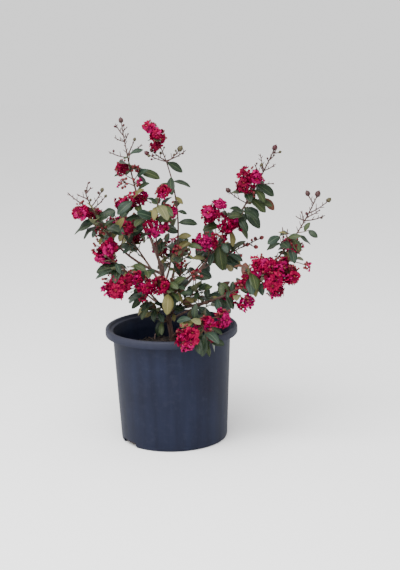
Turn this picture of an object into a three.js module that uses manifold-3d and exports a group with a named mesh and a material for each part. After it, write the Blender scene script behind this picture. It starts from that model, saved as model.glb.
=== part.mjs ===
// A young crape myrtle in a round nursery pot: a short main stem, limbs that fork from it, and on the end of
// each limb a mass of leafy twigs, ruffled blossom heads and dry seed heads. Millimetres, +Z up, -Y is the
// front, and the origin is the middle of the pot's flat underside.
import * as THREE from "three";
import { mergeVertices } from "three/addons/utils/BufferGeometryUtils.js";
import Module from "manifold-3d";

// ---------------------------------------------------------------- sizes
const POT = {
  height: 244,
  baseRadius: 113,
  neckRadius: 125, // outside of the wall where it meets the rim
  rimRadius: 140,
  rimBand: 16, // height of the skirt that hangs from the rim
  wall: 2.6,
  floor: 4,
  bevel: 4, // rounding of the bottom corner
  drains: 2, // drain slots cut through the bottom corner
  drainWidth: 50,
  drainHeight: 10,
  drainDepth: 20, // how far a slot reaches in under the floor
  drainHeading: 212, // degrees from +X towards +Y
  facets: 36,
};
const SOIL = { level: 195, fall: 7, seatRadius: 14, grain: 1.6 };
const STEM = {
  foot: [4, 0, SOIL.level - 3],
  bend: [-7, -3, 275],
  top: [-16, 10, 365],
  footRadius: 5.6,
  flare: 2.8, // extra radius at the soil
  flareHeight: 14,
  topRadius: 4.1,
};
const DEAD_TWIG = { foot: [-42, 92, 189], bend: [-30, 84, 222], top: [-26, 62, 252], radius: 1.6 };

const GAP = 0.3; // clearance between one solid and the next
const LIMB_SIDES = 5;
const TWIG_SIDES = 3;
const TWIG_RADIUS = 1.3;
const TWIG_STEP = 30;
const SINK = 0.5; // how far a leaf's foot reaches past the middle of its twig
const CLEAR = 1.6; // least distance of growth from another mass's space
const LEAF = {
  length: 46,
  width: 0.52,
  thickness: 0.024,
  fold: 0.07,
  droop: 0.1,
  spacing: 0.28,
  light: [-0.1, -0.55, 0.83], // where the leaves turn their faces
};
const RUFFLE = 0.3; // how much the points of a blossom head stand in and out
const SPRAY = { foot: 0.9, end: 0.6 }; // the side sprays of a dry seed head, from foot to end

// Each limb leaves the main stem at `from`, a share of its height, passes through `elbow` and, with the
// growth it carries, reaches `tip` (across, depth, height). `bare` is the share of that line which is limb;
// the rest is the stem of the mass. `leaves` is pairs of leaves on the stem, or `leafNodes` names each one by
// its share, its heading and its rise in degrees and its size. `twigs` is leafy side twigs, `blooms` is
// blossom heads and `buds` is heads still in bud (across, depth, height, radius). `seedHead` is the share of
// the line that ends as a dry seed head, with `sprays` off its sides (share, heading, rise, length, and the
// radius of its pod or 0) and a pod of radius `tipPod` on its end.
const SHOOTS = {
  left_high: {
    from: 1, elbow: [-60, 50, 495], tip: [-95, 85, 670], bare: 0.24, radius: 3.6, seed: 11,
    leaves: 3, twigs: 2, twigLength: 34, seedHead: 0.76, tipPod: 4.5,
    blooms: [[-95, 60, 575, 13], [-65, 45, 510, 15], [-95, 45, 500, 13], [-90, 35, 455, 18]],
    buds: [[-70, 65, 570, 9], [-90, 60, 540, 11], [-65, 60, 540, 9]],
    sprays: [
      [0.765, 340, 38, 42, 0], [0.77, 30, 60, 37, 3], [0.755, 170, 17, 43, 0], [0.86, 40, 60, 20, 0],
      [0.86, 205, 25, 25, 0], [0.9, 165, 55, 30, 0], [0.93, 340, 40, 14, 0],
    ],
  },
  left_long: {
    from: 0.93, elbow: [-110, -50, 435], tip: [-165, -80, 550], bare: 0.34, radius: 3.2, seed: 23,
    leaves: 4, twigs: 3, twigLength: 38, seedHead: 0.8,
    blooms: [[-170, -80, 510, 16], [-130, -65, 425, 26], [-145, -60, 495, 12]],
    buds: [[-135, -65, 465, 9]],
    sprays: [
      [0.97, 30, 75, 24, 0], [0.97, 320, 45, 21, 0], [0.93, 190, 27, 24, 0], [0.84, 175, 35, 60, 0],
      [0.86, 345, 55, 43, 3.4], [0.84, 20, 40, 38, 2.6],
    ],
  },
  left_low: {
    from: 0.42, elbow: [-60, -65, 350], tip: [-130, -100, 420], bare: 0.4, radius: 3, seed: 31,
    leaves: 3, twigs: 3, twigLength: 32, seedHead: 0.88,
    blooms: [[-110, -95, 360, 25], [-75, -90, 370, 14], [-50, -80, 350, 20], [-20, -70, 350, 17]],
    sprays: [[0.88, 190, 10, 20, 0], [0.9, 30, 40, 14, 0]],
  },
  mid_left: {
    from: 0.84, elbow: [-25, -30, 455], tip: [-15, -40, 530], bare: 0.3, radius: 3, seed: 43,
    leaves: 4, twigs: 3, twigLength: 34,
    blooms: [[-10, -40, 535, 13], [0, -30, 495, 17], [-25, -40, 470, 19]],
  },
  leader: {
    from: 0.62, elbow: [20, 15, 470], tip: [-20, 20, 640], bare: 0.3, radius: 3.2, seed: 53,
    twigs: 0, twigLength: 20, seedHead: 0.83,
    leafNodes: [
      [0.84, 0, -30, 0.84], [0.75, 270, -50, 0.85], [0.72, 355, -20, 1], [0.71, 180, -28, 0.78],
      [0.63, 340, -45, 0.52], [0.54, 5, -15, 0.45], [0.47, 0, -3, 0.85], [0.41, 180, 28, 0.75],
      [0.385, 350, 8, 0.75], [0.33, 5, 8, 0.75], [0.6, 90, -30, 0.7], [0.5, 110, -30, 0.8],
      [0.36, 80, -20, 0.8],
    ],
    blooms: [[-30, 20, 660, 11], [-15, 20, 640, 15], [-20, 15, 625, 9]],
    sprays: [
      [0.84, 345, 44, 42, 5], [0.85, 20, 23, 48, 0], [0.845, 195, 26, 46, 4], [0.85, 160, 34, 38, 3.5],
    ],
  },
  right_high: {
    from: 0.55, elbow: [120, 70, 420], tip: [230, 110, 600], bare: 0.3, radius: 3.8, seed: 61,
    twigs: 3, twigLength: 42, seedHead: 0.8, tipPod: 5,
    leafNodes: [
      [0.79, 0, -37, 1], [0.76, 320, -38, 0.78], [0.71, 350, -43, 1.08], [0.66, 325, -50, 1.08],
      [0.62, 300, -40, 0.63], [0.56, 335, -45, 0.95], [0.52, 300, -68, 1.05], [0.63, 190, -10, 0.5],
      [0.42, 290, -70, 1.1], [0.4, 330, -65, 0.85], [0.45, 80, -20, 0.9], [0.58, 100, -15, 0.8],
      [0.7, 80, -25, 0.8], [0.5, 160, -10, 0.7], [0.36, 100, -20, 0.9], [0.37, 250, -40, 0.8],
    ],
    blooms: [
      [180, 90, 540, 20], [160, 80, 525, 12], [95, 65, 470, 19], [130, 65, 445, 19], [75, 40, 415, 18],
      [110, 60, 490, 10],
    ],
    buds: [[175, 85, 505, 11], [100, 45, 420, 11]],
    sprays: [
      [0.97, 330, 10, 19, 2.5], [0.87, 140, 75, 37, 0], [0.84, 200, 60, 30, 0], [0.86, 250, 60, 20, 3.2],
      [0.87, 340, 30, 30, 0], [0.93, 30, 35, 15, 0], [0.8, 340, 0, 36, 0], [0.68, 190, 37, 49, 4.6],
      [0.82, 120, 55, 20, 0],
    ],
  },
  right_long: {
    from: 0.5, elbow: [175, -65, 355], tip: [305, -80, 530], bare: 0.22, radius: 3.8, seed: 73,
    twigs: 4, twigLength: 38, seedHead: 0.8, tipPod: 5,
    leafNodes: [
      [0.78, 0, -33, 1], [0.76, 270, -60, 0.75], [0.73, 345, -60, 0.8], [0.68, 250, -55, 0.65],
      [0.72, 80, -20, 0.9], [0.62, 90, -30, 1], [0.52, 80, -35, 0.9], [0.54, 200, -50, 0.7],
      [0.47, 100, -20, 0.8], [0.46, 270, -65, 0.8], [0.42, 330, -60, 0.8], [0.4, 110, 50, 0.5],
      [0.37, 280, -60, 0.85], [0.35, 70, 60, 0.6], [0.32, 250, -45, 0.8], [0.3, 100, 55, 0.55],
      [0.27, 290, -50, 0.85],
    ],
    blooms: [
      [190, -80, 385, 22], [210, -90, 365, 24], [245, -90, 370, 19], [165, -70, 355, 16],
      [155, -75, 310, 15], [250, -75, 425, 16], [215, -95, 340, 15], [225, -85, 390, 15],
    ],
    buds: [[145, -75, 345, 9], [280, -90, 385, 8]],
    sprays: [
      [0.9, 345, 34, 50, 4], [0.95, 150, 58, 24, 4.4], [0.86, 15, 10, 44, 0], [0.86, 195, 30, 22, 0],
      [0.85, 110, 70, 24, 0], [0.88, 330, 30, 34, 0], [0.69, 240, 80, 50, 0], [0.7, 60, 78, 40, 0],
    ],
  },
  right_mid: {
    from: 0.7, elbow: [120, 100, 370], tip: [200, 135, 400], bare: 0.52, radius: 2.8, seed: 83,
    leaves: 4, twigs: 2, twigLength: 24, seedHead: 0.72, tipPod: 4,
    sprays: [
      [0.8, 30, 15, 18, 4], [0.88, 320, -15, 20, 4], [0.95, 100, 10, 10, 3.6], [0.75, 300, -20, 24, 3],
    ],
  },
  front_low: {
    from: 0.13, elbow: [50, -85, 275], tip: [75, -165, 255], bare: 0.4, radius: 2.4, seed: 97,
    leaves: 4, twigs: 3, twigLength: 30,
    blooms: [[35, -155, 265, 20], [65, -120, 275, 17], [105, -100, 285, 17], [35, -165, 245, 11]],
    buds: [[80, -145, 260, 9]],
  },
  back_left: {
    from: 0.74, elbow: [-70, 80, 395], tip: [-120, 130, 460], bare: 0.4, radius: 3.2, seed: 103,
    leaves: 3, twigs: 3, twigLength: 38,
    blooms: [[-110, 130, 440, 20], [-80, 120, 420, 17]],
  },
  back_mid: {
    from: 0.8, elbow: [0, 80, 360], tip: [5, 140, 395], bare: 0.42, radius: 3, seed: 113,
    leaves: 3, twigs: 3, twigLength: 36,
    blooms: [[20, 145, 385, 20], [-20, 130, 385, 17]],
  },
  back_right: {
    from: 0.6, elbow: [60, 105, 345], tip: [110, 170, 390], bare: 0.44, radius: 3.2, seed: 127,
    leaves: 4, twigs: 3, twigLength: 38,
    blooms: [[115, 170, 370, 20], [80, 160, 370, 16]],
  },
  back_low_left: {
    from: 0.48, elbow: [-50, 60, 295], tip: [-105, 110, 330], bare: 0.45, radius: 2.8, seed: 131,
    leaves: 4, twigs: 2, twigLength: 34,
    blooms: [[-110, 110, 320, 18]],
  },
  back_low_right: {
    from: 0.36, elbow: [50, 60, 265], tip: [105, 115, 270], bare: 0.46, radius: 2.8, seed: 167,
    leaves: 4, twigs: 2, twigLength: 32,
    blooms: [[120, 110, 280, 16]],
  },
  heart_front: {
    from: 0.72, elbow: [0, -40, 325], tip: [10, -75, 340], bare: 0, radius: 2, seed: 151,
    leaves: 4, twigs: 5, twigLength: 30,
  },
  heart_left: {
    from: 0.3, elbow: [-30, -30, 285], tip: [-60, -40, 315], bare: 0, radius: 2, seed: 163,
    twigs: 2, twigLength: 28,
    leafNodes: [
      [0.3, 200, -70, 0.85], [0.45, 170, -10, 0.8], [0.55, 110, 10, 0.8], [0.6, 260, -50, 0.7],
      [0.75, 190, -60, 0.7], [0.85, 60, 30, 0.7], [0.95, 150, -5, 0.8], [0.97, 215, -35, 0.8],
    ],
  },
  heart_right: {
    from: 0.4, elbow: [30, -35, 305], tip: [65, -45, 330], bare: 0, radius: 2, seed: 173,
    leaves: 5, twigs: 4, twigLength: 32,
    buds: [[55, -45, 360, 11]],
  },
  heart_high: {
    from: 0.5, elbow: [20, -30, 350], tip: [30, -35, 415], bare: 0, radius: 2, seed: 181,
    leaves: 4, twigs: 4, twigLength: 30,
    buds: [[20, -30, 410, 10], [25, -40, 385, 10]],
  },
};

const COLOURS = {
  pot: { color: 0x2b3040, roughness: 0.55 },
  soil: { color: 0x2a1c15, roughness: 1 },
  bark: { color: 0x7a5a4a, roughness: 0.85 },
  deadwood: { color: 0x8f8078, roughness: 0.9 },
  growth: { color: 0x39513f, roughness: 0.6 },
};

// ---------------------------------------------------------------- small helpers
const UP = new THREE.Vector3(0, 0, 1);
const GOLDEN_TURN = 137.5;
const vec = (p) => new THREE.Vector3(...p);
const rad = THREE.MathUtils.degToRad;
const mix = THREE.MathUtils.lerp;

// A repeatable run of numbers from 0 to 1.
function seeded(seed) {
  let state = seed;
  return () => (state = (state * 16807) % 2147483647) / 2147483647;
}

// The curve from one point to another that passes through a third on the way.
function lineThrough(start, through, end) {
  const first = start.distanceTo(through);
  const t = first / (first + through.distanceTo(end));
  const control = through
    .clone()
    .addScaledVector(start, -(1 - t) * (1 - t))
    .addScaledVector(end, -t * t)
    .divideScalar(2 * t * (1 - t));
  return new THREE.QuadraticBezierCurve3(start.clone(), control, end.clone());
}

// Two directions across a stem that runs along `along`: level across it, and the upper side of it.
function across(along) {
  const level = new THREE.Vector3(along.x, along.y, 0);
  if (level.length() < 0.02) level.set(1, 0, 0);
  const reference = level.normalize().multiplyScalar(-0.8).addScaledVector(UP, 0.6);
  const side = reference.clone().cross(along).normalize();
  return { side, upper: along.clone().cross(side).normalize() };
}

// A direction that leaves a stem at `turn` degrees round it, leaning `lean` degrees forward along it.
function leaving(along, turn, lean) {
  const { side, upper } = across(along);
  return side
    .multiplyScalar(Math.cos(rad(turn)))
    .addScaledVector(upper, Math.sin(rad(turn)))
    .multiplyScalar(Math.cos(rad(lean)))
    .addScaledVector(along, Math.sin(rad(lean)))
    .normalize();
}

// The direction with a heading on the compass and a rise from level, both in degrees.
function pointing(heading, rise) {
  const level = Math.cos(rad(rise));
  const turn = rad(heading);
  return new THREE.Vector3(level * Math.cos(turn), level * Math.sin(turn), Math.sin(rad(rise)));
}

// The turn round a stem at which what leaves it points to a heading on the compass.
function turnTo(along, heading) {
  const { side, upper } = across(along);
  const way = new THREE.Vector3(Math.cos(rad(heading)), Math.sin(rad(heading)), 0);
  return THREE.MathUtils.radToDeg(Math.atan2(way.dot(upper), way.dot(side)));
}

// ---------------------------------------------------------------- meshes and solids
const wasm = await Module();
wasm.setup();

function geometryFrom(points, triangles) {
  const geometry = new THREE.BufferGeometry();
  const numbers = points.flatMap((p) => [p.x, p.y, p.z]);
  geometry.setAttribute("position", new THREE.Float32BufferAttribute(numbers, 3));
  geometry.setIndex(triangles.flat());
  return geometry;
}

function solidFrom(geometry) {
  const bare = geometry.clone();
  bare.deleteAttribute("normal");
  bare.deleteAttribute("uv");
  const merged = mergeVertices(bare, 1e-3);
  return new wasm.Manifold(
    new wasm.Mesh({
      numProp: 3,
      vertProperties: merged.attributes.position.array,
      triVerts: new Uint32Array(merged.index.array),
    }),
  );
}

function geometryOf(solid) {
  const mesh = solid.getMesh();
  const geometry = new THREE.BufferGeometry();
  geometry.setAttribute("position", new THREE.BufferAttribute(mesh.vertProperties, 3));
  geometry.setIndex(new THREE.BufferAttribute(mesh.triVerts, 1));
  const faceted = geometry.toNonIndexed();
  faceted.computeVertexNormals();
  return faceted;
}

// A closed tapering tube along a curve, from share u0 to share u1 of its length.
function taperedTube(curve, u0, u1, radiusAt, sides, steps) {
  const points = [];
  const triangles = [];
  const { side } = across(curve.getTangentAt(u0));
  for (let i = 0; i <= steps; i++) {
    const u = mix(u0, u1, i / steps);
    const centre = curve.getPointAt(u);
    const along = curve.getTangentAt(u);
    side.addScaledVector(along, -side.dot(along)).normalize();
    const upper = along.clone().cross(side);
    for (let k = 0; k < sides; k++) {
      const angle = (2 * Math.PI * k) / sides;
      points.push(
        centre
          .clone()
          .addScaledVector(side, radiusAt(u) * Math.cos(angle))
          .addScaledVector(upper, radiusAt(u) * Math.sin(angle)),
      );
    }
  }
  const ring = (i, k) => i * sides + (k % sides);
  for (let k = 0; k < sides; k++) {
    for (let i = 0; i < steps; i++) {
      triangles.push([ring(i, k), ring(i + 1, k + 1), ring(i + 1, k)]);
      triangles.push([ring(i, k), ring(i, k + 1), ring(i + 1, k + 1)]);
    }
    if (k > 1) {
      triangles.push([ring(0, 0), ring(0, k), ring(0, k - 1)]);
      triangles.push([ring(steps, 0), ring(steps, k - 1), ring(steps, k)]);
    }
  }
  return solidFrom(geometryFrom(points, triangles));
}

// ---------------------------------------------------------------- pot and soil
// Outer radius of the pot's wall at a height.
const wallRadius = (z) => mix(POT.baseRadius, POT.neckRadius, z / (POT.height - POT.rimBand));

function potSolid() {
  const { height, baseRadius, neckRadius, rimRadius, rimBand, wall, floor, bevel } = POT;
  const shoulder = height - wall;
  const profile = [
    [0, 0],
    [baseRadius - bevel, 0],
    [baseRadius - bevel * 0.3, bevel * 0.3],
    [wallRadius(bevel), bevel],
    [neckRadius, height - rimBand],
    [neckRadius + 3, shoulder],
    [rimRadius - wall, shoulder - 1],
    [rimRadius - wall + 0.6, height - rimBand],
    [rimRadius, height - rimBand],
    [rimRadius - 0.8, shoulder - 1],
    [rimRadius - 3, height],
    [neckRadius + 3, height],
    [neckRadius - wall + 1, shoulder - 3],
    [wallRadius(floor) - wall, floor],
    [0, floor],
  ].map(([r, z]) => new THREE.Vector2(r, z));
  let pot = solidFrom(new THREE.LatheGeometry(profile, POT.facets).rotateX(Math.PI / 2));
  for (let k = 0; k < POT.drains; k++) {
    const slot = new THREE.BoxGeometry(2 * POT.drainDepth, POT.drainWidth, 2 * POT.drainHeight)
      .translate(baseRadius, 0, 0)
      .rotateZ(rad(POT.drainHeading + (360 * k) / POT.drains));
    pot = pot.subtract(solidFrom(slot));
  }
  return pot;
}

// The potting mix: a plug that fills the pot to a little below the rim, level where the stem stands.
function soilSolid() {
  const { level, fall, seatRadius, grain } = SOIL;
  const inside = (z) => wallRadius(z) - POT.wall - GAP - 0.4;
  const foot = POT.floor + GAP;
  const edge = level - fall;
  const profile = [[0, foot], [inside(foot), foot], [inside(edge), edge]];
  for (const share of [0.85, 0.6, 0.35]) profile.push([inside(edge) * share, mix(edge, level, 1 - share)]);
  profile.push([seatRadius, level], [0, level]);
  const lathe = new THREE.LatheGeometry(profile.map(([r, z]) => new THREE.Vector2(r, z)), POT.facets / 2);
  const place = lathe.rotateX(Math.PI / 2).attributes.position;
  for (let i = 0; i < place.count; i++) {
    const [x, y, z] = [place.getX(i), place.getY(i), place.getZ(i)];
    const out = Math.hypot(x, y);
    if (z < edge - 1 || out < seatRadius + 1) continue;
    place.setZ(i, z + grain * Math.sin(x / 9 + 1) * Math.cos(y / 11) - grain);
  }
  return solidFrom(lathe);
}

// ---------------------------------------------------------------- main stem and limbs
const stemLine = lineThrough(vec(STEM.foot), vec(STEM.bend), vec(STEM.top));
const stemLength = stemLine.getLength();
const stemRadius = (u) => {
  const flare = STEM.flare * Math.max(0, 1 - (u * stemLength) / STEM.flareHeight) ** 2;
  return mix(STEM.footRadius, STEM.topRadius, u) + flare;
};
const stemTube = (swell) => taperedTube(stemLine, 0, 1, (u) => stemRadius(u) + swell, 8, 16);

// The foot is cut level, so that it stands flat on the soil.
function stemSolid() {
  const below = new THREE.BoxGeometry(60, 60, 40).translate(STEM.foot[0], STEM.foot[1], SOIL.level + GAP - 20);
  return stemTube(0).subtract(solidFrom(below));
}

function deadTwigSolid() {
  const line = lineThrough(vec(DEAD_TWIG.foot), vec(DEAD_TWIG.bend), vec(DEAD_TWIG.top));
  return taperedTube(line, 0, 1, (u) => DEAD_TWIG.radius * (1 - 0.45 * u), 5, 6);
}

// The line of a shoot, limb and mass together, and where the limb ends on it.
function shootLine(shoot) {
  const onStem = shoot.from === 1;
  const start = stemLine.getPointAt(shoot.from);
  if (onStem) start.addScaledVector(stemLine.getTangentAt(1), GAP);
  const line = lineThrough(start, vec(shoot.elbow), vec(shoot.tip));
  const length = line.getLength();
  return { line, length, split: shoot.bare, growFrom: shoot.bare ? shoot.bare + GAP / length : 0 };
}

// A shoot thins from its foot to the end of its line.
const shootRadius = (shoot, u) => mix(shoot.radius, TWIG_RADIUS * 0.8, Math.min(1, u * 1.1));

function limbSolid(shoot, others) {
  const { line, split } = shoot.path;
  const tube = (swell) => taperedTube(line, 0, split, (u) => shootRadius(shoot, u) + swell, LIMB_SIDES, 4);
  let solid = tube(0);
  for (const other of others) solid = solid.subtract(other);
  others.push(tube(GAP));
  const parts = solid.decompose().sort((a, b) => b.volume() - a.volume());
  return parts[0];
}

// ---------------------------------------------------------------- the growing rule
// A blossom head's twig leaves the stem of its mass a little below the head and rises to it.
function bloomTwigs(shoot) {
  const { line, length, growFrom } = shoot.path;
  return [...(shoot.blooms ?? []), ...(shoot.buds ?? [])].map(([x, y, z, size]) => {
    const head = new THREE.Vector3(x, y, z);
    let best = { share: 1, distance: Infinity };
    for (let u = growFrom; u <= 1; u += 0.02) {
      const distance = line.getPointAt(u).distanceTo(head);
      if (distance < best.distance) best = { share: u, distance };
    }
    const share = Math.max(growFrom + 0.03, best.share - (0.7 * best.distance) / length);
    const foot = line.getPointAt(Math.min(share, 0.97));
    const bend = foot.clone().lerp(head, 0.5).addScaledVector(line.getTangentAt(share), 0.12 * best.distance);
    return { line: lineThrough(foot, bend, head), size, length: foot.distanceTo(head) };
  });
}

// Points along everything that is already set out, by which new growth finds whose space it is in.
function samplesAlong(line, u0, u1, spacing) {
  const count = Math.max(2, Math.ceil(((u1 - u0) * line.getLength()) / spacing));
  return Array.from({ length: count + 1 }, (_, i) => line.getPointAt(mix(u0, u1, i / count)));
}

const SPACING = 5;
for (const shoot of Object.values(SHOOTS)) {
  shoot.path = shootLine(shoot);
  shoot.bloomTwigs = bloomTwigs(shoot);
  shoot.skeleton = samplesAlong(shoot.path.line, shoot.path.growFrom, 1, SPACING);
  for (const twig of shoot.bloomTwigs) shoot.skeleton.push(...samplesAlong(twig.line, 0, 1, SPACING));
  shoot.limb = shoot.bare ? samplesAlong(shoot.path.line, 0, shoot.path.split, SPACING) : [];
}
const stemSamples = samplesAlong(stemLine, 0, 1, SPACING);

const nearest = (point, samples) =>
  samples.reduce((least, sample) => Math.min(least, sample.distanceTo(point)), Infinity);

// Whether a point is over the rim, in the wall or in the soil of the pot, or too near to them.
function inPot(point) {
  const out = Math.hypot(point.x, point.y);
  if (out > POT.rimRadius + 3 || point.z > POT.height + 2.5) return false;
  return out > wallRadius(point.z) - POT.wall - 4 || point.z < SOIL.level + 4;
}

// Whether all of a piece's points are in its own mass's space and clear of every limb.
function hasRoom(shoot, points) {
  return points.every((point) => {
    if (inPot(point) || nearest(point, stemSamples) < STEM.footRadius + CLEAR) return false;
    const own = nearest(point, shoot.skeleton);
    return Object.values(SHOOTS).every((other) => {
      const limbRoom = other.limb.length ? nearest(point, other.limb) - other.radius : Infinity;
      return limbRoom > CLEAR && (other === shoot || own + CLEAR < nearest(point, other.skeleton));
    });
  });
}

function leafPoints({ foot, along, face, length }) {
  const wide = along.clone().cross(face).multiplyScalar(0.5 * LEAF.width * length);
  const thick = 0.5 * LEAF.thickness * length;
  const middle = foot.clone().addScaledVector(along, 0.5 * length).addScaledVector(face, LEAF.droop * length);
  const raised = middle.clone().addScaledVector(face, LEAF.fold * length);
  return {
    foot,
    tip: foot.clone().addScaledVector(along, length),
    left: raised.clone().sub(wide),
    right: raised.clone().add(wide),
    top: middle.clone().addScaledVector(face, thick),
    under: middle.clone().addScaledVector(face, -thick),
  };
}

// A blossom head is a ball whose points stand in and out like crumpled petals.
const octahedron = new THREE.OctahedronGeometry(1, 1).deleteAttribute("normal").deleteAttribute("uv");
const ball = mergeVertices(octahedron, 1e-3);
const ballPoint = (i) => new THREE.Vector3().fromBufferAttribute(ball.attributes.position, i);
const headPoints = ({ centre, radius, ruffles }) =>
  ruffles.map((ruffle, i) => ballPoint(i).multiplyScalar(radius * ruffle).add(centre));

// What grows on one mass: its stem and side twigs, and the leaves, flowers and pods that they carry.
function grow(shoot) {
  const random = seeded(shoot.seed);
  const grown = { twigs: [], leaves: [], heads: [], pods: [] };
  const taken = []; // points along the leaves that have grown so far
  const { line, growFrom } = shoot.path;
  const stemFoot = shootRadius(shoot, growFrom);
  grown.twigs.push({ line, from: growFrom, to: 1, foot: stemFoot, end: TWIG_RADIUS * 0.7 });

  const fits = (leaf) => {
    const p = leafPoints(leaf);
    const blade = [0.4, 0.7, 1].map((s) => leaf.foot.clone().addScaledVector(leaf.along, s * leaf.length));
    const rim = [p.left, p.right, p.top, p.tip];
    if (blade.some((at) => nearest(at, taken) < LEAF.spacing * leaf.length)) return false;
    const touches = (at) => grown.heads.some((head) => at.distanceTo(head.centre) < head.radius + 1);
    if (rim.some(touches)) return false;
    if (!hasRoom(shoot, rim)) return false;
    taken.push(...blade);
    return true;
  };

  // A leaf leans along its twig and sags, or points to a given heading and rise. It swings round the twig to
  // the first side that has room for it.
  const addLeaf = (stem, u, turn, size, heading, rise) => {
    const lean = 20 + 30 * random();
    const sag = 0.2 + 0.6 * random();
    const roll = (random() - 0.5) * 0.9;
    const length = LEAF.length * size * (0.8 + 0.4 * random());
    const along = stem.getTangentAt(u);
    for (const swing of [0, 50, -50]) {
      const out = heading === undefined ? leaving(along, turn + swing, lean) : pointing(heading + swing, rise);
      if (heading === undefined) out.z -= sag;
      out.normalize();
      const face = vec(LEAF.light).addScaledVector(leaving(along, turn + swing, 0), 0.4);
      face.addScaledVector(out, -face.dot(out)).normalize().applyAxisAngle(out, roll);
      const leaf = { foot: stem.getPointAt(u).addScaledVector(out, -SINK), along: out, face, length };
      if (fits(leaf)) return grown.leaves.push(leaf);
    }
  };

  // Blossom heads: a twig with a ruffled ball of petals on its end, smaller where room is short.
  for (const { line: twig, size } of shoot.bloomTwigs) {
    grown.twigs.push({ line: twig, from: 0, to: 1, foot: TWIG_RADIUS * 1.1, end: TWIG_RADIUS * 0.8 });
    const ruffles = Array.from({ length: ball.attributes.position.count }, () => 1 - RUFFLE * random());
    const centre = twig.getPointAt(1);
    const radius = [1, 0.85, 0.7, 0.55]
      .map((share) => size * share)
      .find((r) => hasRoom(shoot, headPoints({ centre, radius: r, ruffles })));
    if (radius) grown.heads.push({ centre, radius, ruffles });
  }

  // Pairs of leaves along the stem, each pair turned from the last, or the leaves that are named one by one.
  const leafEnd = Math.min(shoot.seedHead ?? 1, 0.97);
  for (const [u, heading, rise, size] of shoot.leafNodes ?? []) {
    addLeaf(line, u, turnTo(line.getTangentAt(u), heading), size, heading, rise);
  }
  for (let i = 0; i < (shoot.leaves ?? 0); i++) {
    const u = mix(growFrom + 0.04, leafEnd, (i + 0.5) / shoot.leaves);
    for (const side of [0, 180]) addLeaf(line, u, side + 75 * i + 25 * random(), 1);
  }

  // Leafy side twigs, set round the stem at the golden turn, shorter towards its end.
  for (let i = 0; i < shoot.twigs; i++) {
    const u = mix(growFrom + 0.05, leafEnd - 0.06, (i + 0.5) / shoot.twigs);
    const turn = GOLDEN_TURN * i + 40 * random();
    const length = shoot.twigLength * (1.15 - 0.4 * (i / shoot.twigs)) * (0.75 + 0.5 * random());
    const foot = line.getPointAt(u);
    const out = leaving(line.getTangentAt(u), turn, 35);
    const end = foot.clone().addScaledVector(out, length).addScaledVector(UP, 0.18 * length);
    const twig = lineThrough(foot, foot.clone().lerp(end, 0.5).addScaledVector(UP, -0.05 * length), end);
    const room = hasRoom(shoot, [0.5, 0.75, 1].map((s) => twig.getPointAt(s)));
    if (room) grown.twigs.push({ line: twig, from: 0, to: 1, foot: TWIG_RADIUS, end: TWIG_RADIUS * 0.6 });
    for (const [at, side] of [[0.5, 0], [0.55, 180], [0.95, 60], [0.97, 240]]) {
      if (room) addLeaf(twig, at, side + 90 * i, 0.85);
      else for (let k = 0; k < 4; k++) random();
    }
  }

  // A pair of leaves on each of the longer blossom twigs.
  for (const { line: twig, length } of shoot.bloomTwigs) {
    for (const side of length > 30 ? [20, 200] : []) addLeaf(twig, 0.45, side, 0.8);
  }

  // The dry seed head: bare sprays off the end of the stem, some still with their pods.
  for (const [u, heading, rise, length, pod] of shoot.sprays ?? []) {
    const foot = line.getPointAt(u);
    const end = foot.clone().addScaledVector(pointing(heading, rise), length);
    const spray = lineThrough(foot, foot.clone().lerp(end, 0.5).addScaledVector(UP, -0.06 * length), end);
    if (!hasRoom(shoot, [0.4, 0.7, 1].map((s) => spray.getPointAt(s)))) continue;
    grown.twigs.push({ line: spray, from: 0, to: 1, foot: SPRAY.foot, end: SPRAY.end });
    if (pod) grown.pods.push({ centre: end, radius: pod });
  }
  if (shoot.tipPod) grown.pods.push({ centre: line.getPointAt(1), radius: shoot.tipPod });
  return grown;
}

// ---------------------------------------------------------------- growth as solids
// A twig follows its curve in straight steps of at most TWIG_STEP.
function twigSolid({ line, from, to, foot, end }) {
  const radiusAt = (u) => mix(foot, end, (u - from) / (to - from));
  const steps = Math.ceil(((to - from) * line.getLength()) / TWIG_STEP);
  return taperedTube(line, from, to, radiusAt, TWIG_SIDES, steps);
}

function leafSolid(leaf) {
  const p = leafPoints(leaf);
  const points = [p.foot, p.right, p.tip, p.left, p.top, p.under];
  const triangles = [];
  for (let k = 0; k < 4; k++) triangles.push([k, (k + 1) % 4, 4], [(k + 1) % 4, k, 5]);
  return solidFrom(geometryFrom(points, triangles));
}

function headSolid(head) {
  return solidFrom(geometryFrom(headPoints(head), [...ball.index.array]));
}

function podSolid({ centre, radius }) {
  return solidFrom(new THREE.IcosahedronGeometry(radius, 0)).translate([centre.x, centre.y, centre.z]);
}

function massSolid(shoot) {
  const grown = grow(shoot);
  const pieces = [
    ...grown.twigs.map(twigSolid),
    ...grown.leaves.map(leafSolid),
    ...grown.heads.map(headSolid),
    ...grown.pods.map(podSolid),
  ];
  let solid = wasm.Manifold.union(pieces);
  for (const limb of swollenLimbs) solid = solid.subtract(limb);
  const parts = solid.simplify(0.02).decompose();
  return parts.sort((a, b) => b.volume() - a.volume())[0];
}

// ---------------------------------------------------------------- the whole plant
const plant = new THREE.Group();

function addNode(name, solid, finish) {
  const mesh = new THREE.Mesh(geometryOf(solid), new THREE.MeshStandardMaterial({ metalness: 0, ...finish }));
  mesh.name = name;
  plant.add(mesh);
}

addNode("pot", potSolid(), COLOURS.pot);
addNode("soil", soilSolid(), COLOURS.soil);
addNode("main_stem", stemSolid(), COLOURS.bark);
addNode("dead_twig", deadTwigSolid(), COLOURS.deadwood);

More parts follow.
